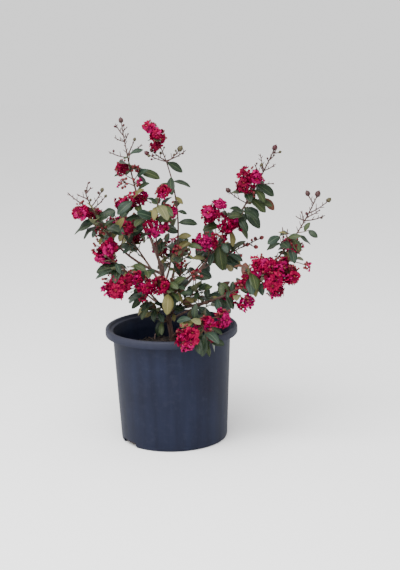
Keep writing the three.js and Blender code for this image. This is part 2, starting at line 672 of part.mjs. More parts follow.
const swollenLimbs = [stemTube(GAP)];
for (const [name, shoot] of Object.entries(SHOOTS)) {
  if (shoot.bare) addNode(`limb_${name}`, limbSolid(shoot, swollenLimbs), COLOURS.bark);
}
for (const [name, shoot] of Object.entries(SHOOTS)) {
  addNode(`growth_${name}`, massSolid(shoot), COLOURS.growth);
}

export default plant;
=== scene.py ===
import math

import bpy
import numpy as np
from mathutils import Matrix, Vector, noise


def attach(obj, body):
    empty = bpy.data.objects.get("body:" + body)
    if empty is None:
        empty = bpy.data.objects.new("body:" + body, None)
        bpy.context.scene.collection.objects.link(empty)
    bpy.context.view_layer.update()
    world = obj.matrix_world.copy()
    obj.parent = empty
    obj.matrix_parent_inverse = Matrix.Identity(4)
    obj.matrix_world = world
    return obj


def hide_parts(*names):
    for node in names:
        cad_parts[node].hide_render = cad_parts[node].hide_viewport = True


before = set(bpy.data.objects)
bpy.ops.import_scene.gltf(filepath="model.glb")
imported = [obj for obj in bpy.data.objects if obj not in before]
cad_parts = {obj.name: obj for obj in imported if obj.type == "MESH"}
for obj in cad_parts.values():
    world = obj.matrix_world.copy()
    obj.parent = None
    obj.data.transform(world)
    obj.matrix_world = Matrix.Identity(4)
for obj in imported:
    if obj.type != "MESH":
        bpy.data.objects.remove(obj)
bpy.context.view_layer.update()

# ---------------------------------------------------------------------------------------------- pot
# The pot is one moulding of dark recycled plastic with a slate-blue cast. Its wall tapers to a flat
# underside, its rim is folded out and down into a skirt, and slots in the bottom corner let water out.

MM = 0.001


def begin():
    """Nothing stays selected from what was made before."""
    bpy.ops.object.select_all(action="DESELECT")


def take(piece):
    """Only this piece is selected, to be worked on."""
    begin()
    piece.select_set(True)
    bpy.context.view_layer.objects.active = piece


def turned(name, rings, segments):
    """A shape on the pot's axis, pulled up ring by ring from (radius, height) pairs in millimetres."""
    begin()
    radius, height = rings[0]
    bpy.ops.mesh.primitive_circle_add(
        vertices=segments, radius=radius * MM, fill_type="NGON", location=(0, 0, height * MM)
    )
    piece = bpy.context.object
    piece.name = piece.data.name = name
    bpy.ops.object.mode_set(mode="EDIT")
    for new_radius, new_height in rings[1:]:
        step = (0, 0, (new_height - height) * MM)
        size = new_radius / radius
        bpy.ops.mesh.extrude_region_move(TRANSFORM_OT_translate={"value": step})
        bpy.ops.transform.resize(value=(size, size, 1), center_override=(0, 0, new_height * MM))
        radius, height = new_radius, new_height
    bpy.ops.mesh.select_all(action="SELECT")
    bpy.ops.mesh.normals_make_consistent(inside=False)
    bpy.ops.object.mode_set(mode="OBJECT")
    bpy.ops.object.transform_apply(location=True, rotation=True, scale=True)
    return piece


class Wire:
    """The output of a shader node. Arithmetic on it adds Math nodes."""

    def __init__(self, finish, socket):
        self.finish = finish
        self.socket = socket

    def _math(self, operation, first, second):
        return self.finish.node("Math", {0: first, 1: second}, operation=operation)

    def __add__(self, other):
        return self._math("ADD", self, other)

    def __sub__(self, other):
        return self._math("SUBTRACT", self, other)

    def __rsub__(self, other):
        return self._math("SUBTRACT", other, self)

    def __mul__(self, other):
        return self._math("MULTIPLY", self, other)

    __radd__ = __add__
    __rmul__ = __mul__


class Finish:
    """A material made of nodes, on one Principled shader."""

    def __init__(self, name):
        self.material = bpy.data.materials.new(name)
        self.material.use_nodes = True
        self.tree = self.material.node_tree
        self.shader = self.tree.nodes["Principled BSDF"]
        self.place = self.node("TexCoord", output="Object")

    def join(self, socket, value):
        if isinstance(value, Wire):
            self.tree.links.new(value.socket, socket)
        else:
            socket.default_value = value

    def node(self, kind, inputs=None, output=0, stops=None, **settings):
        node = self.tree.nodes.new(f"ShaderNode{kind}")
        for setting, value in settings.items():
            setattr(node, setting, value)
        if stops:
            ramp = node.color_ramp.elements
            while len(ramp) < len(stops):
                ramp.new(0.5)
            for element, (position, colour) in zip(ramp, stops):
                element.position = position
                element.color = colour
        for socket, value in (inputs or {}).items():
            self.join(node.inputs[socket], value)
        return Wire(self, node.outputs[output])

    def mixed(self, share, first, second):
        """One colour running into another by a share from 0 to 1."""
        return self.node("Mix", {0: share, 6: first, 7: second}, output=2, data_type="RGBA")

    def spread(self, value, low, high, first, last):
        """A value between low and high, spread out between first and last."""
        return self.node("MapRange", {0: value, 1: low, 2: high, 3: first, 4: last})

    def stretched(self, *scale):
        return self.node("Mapping", {"Vector": self.place, "Scale": scale})

    def cloud(self, scale, detail, roughness=0.5, place=None):
        """Cloudy noise, on the piece's own coordinates unless a place is given."""
        inputs = {"Vector": place or self.place, "Scale": scale, "Detail": detail, "Roughness": roughness}
        return self.node("TexNoise", inputs)

    def relief(self, height, strength, distance):
        return self.node("Bump", {"Height": height, "Strength": strength, "Distance": distance})

    def pattern(self):
        """Where a spot is across and along the leaf or petal that it is on, from 0 to 1."""
        layer = self.node("UVMap", uv_map="pattern")
        return [self.node("SeparateXYZ", {0: layer}, output=axis) for axis in "XY"]

    def surface(self, **inputs):
        for socket, value in inputs.items():
            self.join(self.shader.inputs[socket.replace("_", " ")], value)
        return self


def shade(red, green, blue):
    """A colour from its 0 to 255 screen values."""
    linear = [((c / 255 + 0.055) / 1.055) ** 2.4 if c > 10 else c / 255 / 12.92 for c in (red, green, blue)]
    return (*linear, 1.0)


POT_WALL = [(109.5, 0), (111.8, 0.8), (113.0, 3), (113.5, 8)]
POT_WALL += [(113.5 + 11.5 * k / 9, 8 + 226 * k / 9) for k in range(1, 10)]
POT_RIM = [
    (125.4, 236), (129, 236.6), (133.6, 240.4), (137, 240.2), (137.5, 238), (137.6, 229.2),
    (138.2, 228.3), (139.2, 228.3), (139.8, 229.2), (140, 233), (139.8, 239.6), (139, 242),
    (137.4, 243.5), (135.2, 244), (132.6, 243.8), (131.2, 242.8), (130.7, 241.2), (130.4, 239.4),
    (129.4, 238.4), (125.6, 237.8), (123.6, 236.9), (122.6, 234),
]
POT_LEDGES = [(122.4, 229), (121.6, 228), (121.3, 218), (120.7, 217)]
POT_INSIDE = [(121.8 - 11.3 * k / 9, 234 - 226 * k / 9) for k in range(1, 10)] + [(109, 4.4), (107, 4)]
SLOT_HEADINGS = (212, 32)
SLOT_WIDTH = 50
SLOT_HEIGHT = 10
SLOT_DEPTH = 20
SLOT_ROUNDING = 3
POT_FOOT = 113

pot = turned("nursery_pot", POT_WALL + POT_RIM + POT_LEDGES + POT_INSIDE, 144)
for heading in SLOT_HEADINGS:
    turn = math.radians(heading)
    begin()
    bpy.ops.mesh.primitive_cube_add(
        size=1,
        location=(POT_FOOT * MM * math.cos(turn), POT_FOOT * MM * math.sin(turn), 0),
        rotation=(0, 0, turn),
        scale=(2 * SLOT_DEPTH * MM, SLOT_WIDTH * MM, 2 * SLOT_HEIGHT * MM),
    )
    slot_cutter = bpy.context.object
    bpy.ops.object.transform_apply(location=False, rotation=False, scale=True)
    bpy.ops.object.mode_set(mode="EDIT")
    bpy.ops.mesh.select_all(action="SELECT")
    bpy.ops.mesh.bevel(offset=SLOT_ROUNDING * MM, segments=4)
    bpy.ops.object.mode_set(mode="OBJECT")
    take(pot)
    cut = pot.modifiers.new("slot", "BOOLEAN")
    cut.object = slot_cutter
    cut.operation = "DIFFERENCE"
    cut.solver = "EXACT"
    bpy.ops.object.modifier_apply(modifier=cut.name)
    bpy.data.objects.remove(slot_cutter)
bpy.ops.object.shade_smooth_by_angle(angle=math.radians(40))

moulded = Finish("slate_plastic")
streak = moulded.cloud(1.0, 4.0, 0.6, moulded.stretched(46, 46, 2.2))
grain = moulded.cloud(900.0, 2.0)
scuff = moulded.cloud(70.0, 6.0, 0.7)
mottle = moulded.spread(streak * 0.6 + moulded.cloud(11.0, 3.0) * 0.4, 0.3, 0.7, 0.0, 1.0)
worn = moulded.spread(scuff, 0.5, 0.72, 0.0, 0.35)
# The plastic is made lighter from 226 millimetres up to the top of the rim, more so towards the top.
height = moulded.node("SeparateXYZ", {0: moulded.place}, output="Z")
rim_lightening = moulded.spread(height, 0.226, 0.244, 0.0, 0.55)
body = moulded.mixed(mottle, shade(13, 16, 30), shade(24, 29, 48))
body = moulded.mixed(worn, body, shade(38, 40, 54))
body = moulded.mixed(rim_lightening, body, shade(52, 53, 62))
dents = moulded.relief(streak * 0.6 + grain * 0.4, 0.35, 0.0006)
moulded.surface(Base_Color=body, Roughness=0.46 + 0.2 * scuff, Specular_IOR_Level=0.12, Normal=dents)
pot.data.materials.append(moulded.material)
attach(pot, "root")
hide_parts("pot")

# ------------------------------------------------------------------------------------- potting mix
# The pot is filled with dark composted bark to about 50 millimetres below its rim. The fill sinks a
# little towards the wall, its top is lumpy, and loose chips of bark lie on it.

SOIL_LEVEL = 195
SOIL_FALL = 7
SOIL_RADIUS = 118


class Draw:
    """A repeatable run of numbers from 0 to 1."""

    def __init__(self, seed):
        self.state = seed

    def __call__(self):
        self.state = (self.state * 16807) % 2147483647
        return self.state / 2147483647

    def between(self, low, high):
        return low + (high - low) * self()


class Heap:
    """Many small shapes in millimetres, gathered to be one mesh."""

    def __init__(self):
        self.points, self.faces, self.picks, self.patterns = [], [], [], []
        self.count = 0

    def add(self, points, faces, pick=0, pattern=None):
        points = np.asarray(points, dtype=float)
        self.points.append(points)
        self.faces += [tuple(self.count + i for i in face) for face in faces]
        self.picks += [pick] * len(faces) if isinstance(pick, int) else list(pick)
        self.patterns.append(np.zeros((len(points), 2)) if pattern is None else np.asarray(pattern))
        self.count += len(points)

    def piece(self, name, finishes):
        mesh = bpy.data.meshes.new(name)
        mesh.from_pydata((np.vstack(self.points) * MM).tolist(), [], self.faces)
        mesh.polygons.foreach_set("material_index", self.picks)
        mesh.polygons.foreach_set("use_smooth", [True] * len(self.faces))
        corners = np.zeros(len(mesh.loops), dtype=np.int32)
        mesh.loops.foreach_get("vertex_index", corners)
        layer = mesh.uv_layers.new(name="pattern")
        layer.data.foreach_set("uv", np.vstack(self.patterns)[corners].ravel())
        for finish in finishes:
            mesh.materials.append(finish.material)
        mesh.update()
        piece = bpy.data.objects.new(name, mesh)
        bpy.context.scene.collection.objects.link(piece)
        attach(piece, "root")
        return piece


def soil_top(x, y):
    """The height of the mix at a spot: it falls towards the wall, and large and small lumps lie on it."""
    out = math.hypot(x, y) / SOIL_RADIUS
    lump = 2.2 * noise.noise(Vector((x / 16, y / 16, 3))) + 1.2 * noise.noise(Vector((x / 6, y / 6, 8)))
    return SOIL_LEVEL - SOIL_FALL * out * out + lump * min(1, out * 6) - 0.5


SOIL_SIDE = [(109.5, 4.6), (110.4, 12), (114, 80), (117, 140), (119.2, 186)]
SOIL_EDGE = SOIL_LEVEL - SOIL_FALL
SOIL_TOP = [(119.2 * (1 - k / 30), SOIL_EDGE + SOIL_FALL * k / 30) for k in range(1, 30)]
mix_body = turned("potting_mix", SOIL_SIDE + SOIL_TOP, 120)
for vertex in mix_body.data.vertices:
    if vertex.co.z > (SOIL_EDGE - 1) * MM:
        vertex.co.z = soil_top(vertex.co.x / MM, vertex.co.y / MM) * MM
bpy.ops.object.shade_smooth()

bark_mix = Finish("bark_mix")
crumb = bark_mix.cloud(260.0, 5.0, 0.7)
damp = bark_mix.cloud(30.0, 2.0)
earth = bark_mix.node(
    "ValToRGB",
    {0: crumb * 0.7 + damp * 0.3},
    stops=[(0.3, shade(12, 9, 9)), (0.55, shade(34, 24, 20)), (0.75, shade(70, 52, 41))],
)
bark_mix.surface(Base_Color=earth, Roughness=0.95, Normal=bark_mix.relief(crumb, 0.9, 0.002))
mix_body.data.materials.append(bark_mix.material)
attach(mix_body, "root")
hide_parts("soil")

CHIP_FACES = [(0, 3, 2, 1), (4, 5, 6, 7), (0, 1, 5, 4), (1, 2, 6, 5), (2, 3, 7, 6), (3, 0, 4, 7)]
CHIP_ROUND = [(-1, -1), (1, -1), (1, 1), (-1, 1)]
CHIP_CORNERS = [(a, b, c) for c in (-1, 1) for a, b in CHIP_ROUND]
CHIP_TRIES, CHIP_REACH = 620, 116
STEM_CLEARANCE = 14
chips = Heap()
draw = Draw(509)
for _ in range(CHIP_TRIES):
    away = CHIP_REACH * math.sqrt(draw())
    around = 2 * math.pi * draw()
    long, wide, thick = draw.between(3, 13), draw.between(2, 5), draw.between(0.8, 2.4)
    turn = 2 * math.pi * draw()
    tilt = [draw.between(-0.35, 0.35), draw.between(-0.35, 0.35)]
    jitter = [draw.between(0.7, 1.15) for _ in range(8)]
    x, y = away * math.cos(around), away * math.sin(around)
    if away + long / 2 > SOIL_RADIUS or away < STEM_CLEARANCE:
        continue
    corners = []
    for k, (a, b, c) in enumerate(CHIP_CORNERS):
        a, b = a * long / 2 * jitter[k], b * wide / 2 * jitter[k]
        px = x + a * math.cos(turn) - b * math.sin(turn)
        py = y + a * math.sin(turn) + b * math.cos(turn)
        corners.append((px, py, soil_top(x, y) + 0.6 + c * thick / 2 + a * tilt[0] + b * tilt[1]))
    chips.add(corners, CHIP_FACES, pick=int(3 * draw()))


def blotched(name, scale, dark, light, **looks):
    """A finish that runs from a dark colour to a light one in cloudy blotches."""
    finish = Finish(name)
    tone = finish.mixed(finish.cloud(scale, 3.0), shade(*dark), shade(*light))
    return finish.surface(Base_Color=tone, **looks)


chip_finishes = [
    blotched("chip_dark", 500.0, (12, 8.4, 7.8), (20, 14, 13), Roughness=0.9),
    blotched("chip_brown", 500.0, (22.8, 16.2, 13.2), (38, 27, 22), Roughness=0.9),
    blotched("chip_pale", 500.0, (40.8, 31.2, 25.2), (68, 52, 42), Roughness=0.9),
]
bark_chips = chips.piece("bark_chips", chip_finishes)
bark_chips.data.polygons.foreach_set("use_smooth", [False] * len(bark_chips.data.polygons))

# ------------------------------------------------------------------------------- main stem and limbs
# One short main stem leans to the left and forks into limbs at several heights. The wood is round,
# brown and nearly smooth, with shallow flutes and thin flakes of bark, and swells where limbs fork.

STEM_FOOT, STEM_BEND, STEM_TOP = (4, 0, 192), (-7, -3, 275), (-16, 10, 365)
STEM_RADIUS, STEM_TAPER = 5.6, 1.5
FLARE, FLARE_HEIGHT = 2.8, 14
TWIG_RADIUS = 1.3
# Each shoot leaves the main stem at `start`, a share of its height, passes through `elbow` and reaches
# `tip` (across, depth, height). `bare` is the share of that line with nothing on it. `leaves` is pairs of
# leaves on it, or `leaf_nodes` gives each by its share, heading, rise and size. `blooms` and `buds` are
# blossom heads, open and closed (across, depth, height, radius). `seed_head` is the share where the dry
# seed head starts, `sprays` are its side twigs (share, heading, rise, length, and the radius of the pod
# on it or 0), and `tip_pod` is the radius of the pod on its end.
SHOOTS = {
    "left_high": dict(
        start=1, elbow=(-60, 50, 495), tip=(-95, 85, 670), bare=0.24, radius=3.6, seed=11,
        leaves=3, twigs=2, twig_length=34, seed_head=0.76, tip_pod=4.5,
        blooms=[(-95, 60, 575, 13), (-65, 45, 510, 15), (-95, 45, 500, 13), (-90, 35, 455, 18)],
        buds=[(-70, 65, 570, 9), (-90, 60, 540, 11), (-65, 60, 540, 9)],
        sprays=[
            (0.765, 340, 38, 42, 0), (0.77, 30, 60, 37, 3), (0.755, 170, 17, 43, 0), (0.86, 40, 60, 20, 0),
            (0.86, 205, 25, 25, 0), (0.9, 165, 55, 30, 0), (0.93, 340, 40, 14, 0),
        ],
    ),
    "left_long": dict(
        start=0.93, elbow=(-110, -50, 435), tip=(-165, -80, 550), bare=0.34, radius=3.2, seed=23,
        leaves=4, twigs=3, twig_length=38, seed_head=0.8,
        blooms=[(-170, -80, 510, 16), (-130, -65, 425, 26), (-145, -60, 495, 12)],
        buds=[(-135, -65, 465, 9)],
        sprays=[
            (0.97, 30, 75, 24, 0), (0.97, 320, 45, 21, 0), (0.93, 190, 27, 24, 0), (0.84, 175, 35, 60, 0),
            (0.86, 345, 55, 43, 3.4), (0.84, 20, 40, 38, 2.6),
        ],
    ),
    "left_low": dict(
        start=0.42, elbow=(-60, -65, 350), tip=(-130, -100, 420), bare=0.4, radius=3, seed=31,
        leaves=3, twigs=3, twig_length=32, seed_head=0.88,
        blooms=[(-110, -95, 360, 25), (-75, -90, 370, 14), (-50, -80, 350, 20), (-20, -70, 350, 17)],
        sprays=[(0.88, 190, 10, 20, 0), (0.9, 30, 40, 14, 0)],
    ),
    "mid_left": dict(
        start=0.84, elbow=(-25, -30, 455), tip=(-15, -40, 530), bare=0.3, radius=3, seed=43,
        leaves=4, twigs=3, twig_length=34,
        blooms=[(-10, -40, 535, 13), (0, -30, 495, 17), (-25, -40, 470, 19)],
    ),
    "leader": dict(
        start=0.62, elbow=(20, 15, 470), tip=(-20, 20, 640), bare=0.3, radius=3.2, seed=53,
        twigs=0, twig_length=20, seed_head=0.83,
        leaf_nodes=[
            (0.84, 0, -30, 0.84), (0.75, 270, -50, 0.85), (0.72, 355, -20, 1), (0.71, 180, -28, 0.78),
            (0.63, 340, -45, 0.52), (0.54, 5, -15, 0.45), (0.47, 0, -3, 0.85), (0.41, 180, 28, 0.75),
            (0.385, 350, 8, 0.75), (0.33, 5, 8, 0.75), (0.6, 90, -30, 0.7), (0.5, 110, -30, 0.8),
            (0.36, 80, -20, 0.8),
        ],
        blooms=[(-30, 20, 660, 11), (-15, 20, 640, 15), (-20, 15, 625, 9)],
        sprays=[
            (0.84, 345, 44, 42, 5), (0.85, 20, 23, 48, 0), (0.845, 195, 26, 46, 4), (0.85, 160, 34, 38, 3.5),
        ],
    ),
    "right_high": dict(
        start=0.55, elbow=(120, 70, 420), tip=(230, 110, 600), bare=0.3, radius=3.8, seed=61,
        twigs=3, twig_length=42, seed_head=0.8, tip_pod=5,
        leaf_nodes=[
            (0.79, 0, -37, 1), (0.76, 320, -38, 0.78), (0.71, 350, -43, 1.08), (0.66, 325, -50, 1.08),
            (0.62, 300, -40, 0.63), (0.56, 335, -45, 0.95), (0.52, 300, -68, 1.05), (0.63, 190, -10, 0.5),
            (0.42, 290, -70, 1.1), (0.4, 330, -65, 0.85), (0.45, 80, -20, 0.9), (0.58, 100, -15, 0.8),
            (0.7, 80, -25, 0.8), (0.5, 160, -10, 0.7), (0.36, 100, -20, 0.9), (0.37, 250, -40, 0.8),
        ],
        blooms=[
            (180, 90, 540, 20), (160, 80, 525, 12), (95, 65, 470, 19), (130, 65, 445, 19), (75, 40, 415, 18),
            (110, 60, 490, 10),
        ],
        buds=[(175, 85, 505, 11), (100, 45, 420, 11)],
        sprays=[
            (0.97, 330, 10, 19, 2.5), (0.87, 140, 75, 37, 0), (0.84, 200, 60, 30, 0),
            (0.86, 250, 60, 20, 3.2), (0.87, 340, 30, 30, 0), (0.93, 30, 35, 15, 0), (0.8, 340, 0, 36, 0),
            (0.68, 190, 37, 49, 4.6), (0.82, 120, 55, 20, 0),
        ],
    ),
    "right_long": dict(
        start=0.5, elbow=(175, -65, 355), tip=(305, -80, 530), bare=0.22, radius=3.8, seed=73,
        twigs=4, twig_length=38, seed_head=0.8, tip_pod=5,
        leaf_nodes=[
            (0.78, 0, -33, 1), (0.76, 270, -60, 0.75), (0.73, 345, -60, 0.8), (0.68, 250, -55, 0.65),
            (0.72, 80, -20, 0.9), (0.62, 90, -30, 1), (0.52, 80, -35, 0.9), (0.54, 200, -50, 0.7),
            (0.47, 100, -20, 0.8), (0.46, 270, -65, 0.8), (0.42, 330, -60, 0.8), (0.4, 110, 50, 0.5),
            (0.37, 280, -60, 0.85), (0.35, 70, 60, 0.6), (0.32, 250, -45, 0.8), (0.3, 100, 55, 0.55),
            (0.27, 290, -50, 0.85),
        ],
        blooms=[
            (190, -80, 385, 22), (210, -90, 365, 24), (245, -90, 370, 19), (165, -70, 355, 16),
            (155, -75, 310, 15), (250, -75, 425, 16), (215, -95, 340, 15), (225, -85, 390, 15),
        ],
        buds=[(145, -75, 345, 9), (280, -90, 385, 8)],
        sprays=[
            (0.9, 345, 34, 50, 4), (0.95, 150, 58, 24, 4.4), (0.86, 15, 10, 44, 0), (0.86, 195, 30, 22, 0),
            (0.85, 110, 70, 24, 0), (0.88, 330, 30, 34, 0), (0.69, 240, 80, 50, 0), (0.7, 60, 78, 40, 0),
        ],
    ),
    "right_mid": dict(
        start=0.7, elbow=(120, 100, 370), tip=(200, 135, 400), bare=0.52, radius=2.8, seed=83,
        leaves=4, twigs=2, twig_length=24, seed_head=0.72, tip_pod=4,
        sprays=[
            (0.8, 30, 15, 18, 4), (0.88, 320, -15, 20, 4), (0.95, 100, 10, 10, 3.6), (0.75, 300, -20, 24, 3),
        ],
    ),
    "front_low": dict(
        start=0.13, elbow=(50, -85, 275), tip=(75, -165, 255), bare=0.4, radius=2.4, seed=97,
        leaves=4, twigs=3, twig_length=30,
        blooms=[(35, -155, 265, 20), (65, -120, 275, 17), (105, -100, 285, 17), (35, -165, 245, 11)],
        buds=[(80, -145, 260, 9)],
    ),
    "back_left": dict(
        start=0.74, elbow=(-70, 80, 395), tip=(-120, 130, 460), bare=0.4, radius=3.2, seed=103,
        leaves=3, twigs=3, twig_length=38,
        blooms=[(-110, 130, 440, 20), (-80, 120, 420, 17)],
    ),
    "back_mid": dict(
        start=0.8, elbow=(0, 80, 360), tip=(5, 140, 395), bare=0.42, radius=3, seed=113,
        leaves=3, twigs=3, twig_length=36,
        blooms=[(20, 145, 385, 20), (-20, 130, 385, 17)],
    ),
    "back_right": dict(
        start=0.6, elbow=(60, 105, 345), tip=(110, 170, 390), bare=0.44, radius=3.2, seed=127,
        leaves=4, twigs=3, twig_length=38,
        blooms=[(115, 170, 370, 20), (80, 160, 370, 16)],
    ),
    "back_low_left": dict(
        start=0.48, elbow=(-50, 60, 295), tip=(-105, 110, 330), bare=0.45, radius=2.8, seed=131,
        leaves=4, twigs=2, twig_length=34,
        blooms=[(-110, 110, 320, 18)],
    ),
    "back_low_right": dict(
        start=0.36, elbow=(50, 60, 265), tip=(105, 115, 270), bare=0.46, radius=2.8, seed=167,
        leaves=4, twigs=2, twig_length=32,
        blooms=[(120, 110, 280, 16)],
    ),
    "heart_front": dict(
        start=0.72, elbow=(0, -40, 325), tip=(10, -75, 340), bare=0, radius=2, seed=151,
        leaves=4, twigs=5, twig_length=30,
    ),
    "heart_left": dict(
        start=0.3, elbow=(-30, -30, 285), tip=(-60, -40, 315), bare=0, radius=2, seed=163,
        twigs=2, twig_length=28,
        leaf_nodes=[
            (0.3, 200, -70, 0.85), (0.45, 170, -10, 0.8), (0.55, 110, 10, 0.8), (0.6, 260, -50, 0.7),
            (0.75, 190, -60, 0.7), (0.85, 60, 30, 0.7), (0.95, 150, -5, 0.8), (0.97, 215, -35, 0.8),
        ],
    ),
    "heart_right": dict(
        start=0.4, elbow=(30, -35, 305), tip=(65, -45, 330), bare=0, radius=2, seed=173,
        leaves=5, twigs=4, twig_length=32,
        buds=[(55, -45, 360, 11)],
    ),
    "heart_high": dict(
        start=0.5, elbow=(20, -30, 350), tip=(30, -35, 415), bare=0, radius=2, seed=181,
        leaves=4, twigs=4, twig_length=30,
        buds=[(20, -30, 410, 10), (25, -40, 385, 10)],
    ),
}

UP = np.array((0.0, 0.0, 1.0))


def unit(v):
    return v / math.sqrt(v @ v)


def cross(a, b):
    return np.array((a[1] * b[2] - a[2] * b[1], a[2] * b[0] - a[0] * b[2], a[0] * b[1] - a[1] * b[0]))


class Line:
    """The curve from one point to another that passes through a third on the way, by share of its length."""

    def __init__(self, start, through, end):
        start, through, end = (np.array(p, dtype=float) for p in (start, through, end))
        first = np.linalg.norm(through - start)
        t = first / (first + np.linalg.norm(end - through))
        control = (through - (1 - t) ** 2 * start - t * t * end) / (2 * t * (1 - t))
        self.ends = (start, control, end)
        self.steps = np.linspace(0, 1, 201)
        points = np.array([self._at(s) for s in self.steps])
        self.lengths = np.concatenate(([0], np.cumsum(np.linalg.norm(np.diff(points, axis=0), axis=1))))
        self.length = self.lengths[-1]

    def _at(self, t):
        a, b, c = self.ends
        return (1 - t) ** 2 * a + 2 * t * (1 - t) * b + t * t * c

    def point(self, share):
        return self._at(np.interp(share * self.length, self.lengths, self.steps))

    def tangent(self, share):
        a, b, c = self.ends
        t = np.interp(share * self.length, self.lengths, self.steps)
        return unit((1 - t) * (b - a) + t * (c - b))

    def samples(self, low, high, spacing):
        count = max(2, math.ceil((high - low) * self.length / spacing))
        return [self.point(low + (high - low) * i / count) for i in range(count + 1)]


def tube(points, radii, sides):
    """The skin of a round stem through a run of points, closed at both ends."""
    points = np.asarray(points)
    along = np.gradient(points, axis=0)
    along /= np.linalg.norm(along, axis=1)[:, None]
    side = cross(along[0], UP if abs(along[0][2]) < 0.9 else np.array((1.0, 0, 0)))
    angles = np.arange(sides) * 2 * math.pi / sides
    skin = []
    for point, direction, radius in zip(points, along, radii):
        side = unit(side - direction * (side @ direction))
        upper = cross(direction, side)
        skin.append(point + radius * (np.cos(angles)[:, None] * side + np.sin(angles)[:, None] * upper))
    faces = []
    for i in range(len(points) - 1):
        for k in range(sides):
            here, there = i * sides + k, i * sides + (k + 1) % sides
            faces.append((here, there, there + sides, here + sides))
    last = (len(points) - 1) * sides
    faces += [tuple(range(sides - 1, -1, -1)), tuple(range(last, last + sides))]
    return np.vstack(skin), faces


stem_line = Line(STEM_FOOT, STEM_BEND, STEM_TOP)


def stem_radius(share):
    flare = max(0, 1 - share * stem_line.length / FLARE_HEIGHT) ** 2
    return STEM_RADIUS - STEM_TAPER * share + FLARE * flare


def shoot_radius(shoot, share):
    return shoot["radius"] + (TWIG_RADIUS * 0.8 - shoot["radius"]) * min(1, share * 1.1)


LIMB_GAP = 0.3
BARK_VOXEL = 0.8
COLLAR, COLLAR_LENGTH = 0.35, 16
FLUTE_DEPTH, FLAKE_DEPTH = 0.34, 0.26
wood = Heap()
shares = np.linspace(0, 1, 60)
wood.add(*tube([stem_line.point(s) for s in shares], [stem_radius(s) for s in shares], 16))
for shoot in SHOOTS.values():
    root = stem_line.point(shoot["start"])
    if shoot["start"] == 1:
        root = root + LIMB_GAP * stem_line.tangent(1)
    shoot["line"] = Line(root, shoot["elbow"], shoot["tip"])
    shoot["grow_from"] = shoot["bare"] + LIMB_GAP / shoot["line"].length if shoot["bare"] else 0
    if shoot["bare"]:
        shares = np.linspace(0, shoot["bare"], 24)
        swell = [1 + COLLAR * max(0, 1 - s * shoot["line"].length / COLLAR_LENGTH) for s in shares]
        radii = [shoot_radius(shoot, s) * w for s, w in zip(shares, swell)]
        wood.add(*tube([shoot["line"].point(s) for s in shares], radii, 12))
branches = wood.piece("stem_and_limbs", [])
take(branches)
joined = branches.modifiers.new("joined", "REMESH")
joined.mode = "VOXEL"
joined.voxel_size = BARK_VOXEL * MM
bpy.ops.object.modifier_apply(modifier=joined.name)
softened = branches.modifiers.new("softened", "SMOOTH")
softened.iterations = 3
bpy.ops.object.modifier_apply(modifier=softened.name)
count = len(branches.data.vertices)
spots, ways = np.zeros(3 * count, dtype=np.float32), np.zeros(3 * count, dtype=np.float32)
branches.data.vertices.foreach_get("co", spots)
branches.data.vertices.foreach_get("normal", ways)
spots, ways = spots.reshape(-1, 3) / MM, ways.reshape(-1, 3)
for k, (x, y, z) in enumerate(spots.tolist()):
    flute = noise.noise(Vector((x / 2.6, y / 2.6, z / 26)))
    flake = noise.noise(Vector((x / 1.7 + 9, y / 1.7, z / 5.5)))
    spots[k] += ways[k] * (FLUTE_DEPTH * flute + (FLAKE_DEPTH if flake > 0.12 else 0.0))
spots[:, 2] = np.maximum(spots[:, 2], SOIL_LEVEL + 0.2)
branches.data.vertices.foreach_set("co", (spots * MM).ravel())
branches.data.update()
bpy.ops.object.shade_smooth()

bark = Finish("stem_bark")
fibre = bark.cloud(1.0, 6.0, 0.65, bark.stretched(420, 420, 60))
patch = bark.cloud(1.0, 3.0, place=bark.stretched(160, 160, 45))
brown = bark.node(
    "ValToRGB",
    {0: fibre * 0.55 + patch * 0.45},
    stops=[(0.32, shade(44, 28, 25)), (0.5, shade(74, 52, 45)), (0.66, shade(106, 80, 69))],
)
bark.surface(Base_Color=brown, Roughness=0.82, Normal=bark.relief(fibre + patch, 0.6, 0.0006))
branches.data.materials.clear()
branches.data.materials.append(bark.material)
NODES = sorted(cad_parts)
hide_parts("main_stem", *[name for name in NODES if name.startswith("limb_")])

# ------------------------------------------------------------------------------------ dead twig
# A thin dead shoot stands in the mix near the back wall. It has lost its bark, so it is bleached and
# dry, with two short broken side twigs.

DEAD_FOOT, DEAD_BEND, DEAD_TIP = (-42, 92, 186), (-30, 84, 222), (-26, 62, 252)
DEAD_RADIUS, DEAD_WANDER = 1.35, 2.6
dead = Heap()
dead_line = Line(DEAD_FOOT, DEAD_BEND, DEAD_TIP)
shares = np.linspace(0, 1, 18)
points, radii = [], []
for s in shares:
    bend = np.array((noise.noise(Vector((s * 9, 0, 0))), noise.noise(Vector((0, s * 9, 4))), 0))
    points.append(dead_line.point(s) + DEAD_WANDER * bend)
    radii.append(DEAD_RADIUS * (1 - 0.5 * s))
dead.add(*tube(points, radii, 8))
for share, reach in ((0.45, (9, -4, 12)), (0.72, (-9, -3, 11))):
    root = dead_line.point(share)
    end = root + np.array(reach, dtype=float)
    dead.add(*tube([root, (root + end) / 2 + UP, end], [0.8, 0.65, 0.4], 6))
bleached = Finish("bleached_wood")
silver = bleached.mixed(bleached.cloud(240.0, 4.0), shade(84, 62, 58), shade(156, 130, 120))
bleached.surface(Base_Color=silver, Roughness=0.85)
dead_twig = dead.piece("dead_twig_wood", [bleached])
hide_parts("dead_twig")

# --------------------------------------------------------------------------------- the growing rule
# Each limb carries a spray of growth. Its stem runs on from the limb with leaves in pairs, side twigs
# set round it at the golden turn, a twig to each blossom head, and at its end last year's dry seed head.

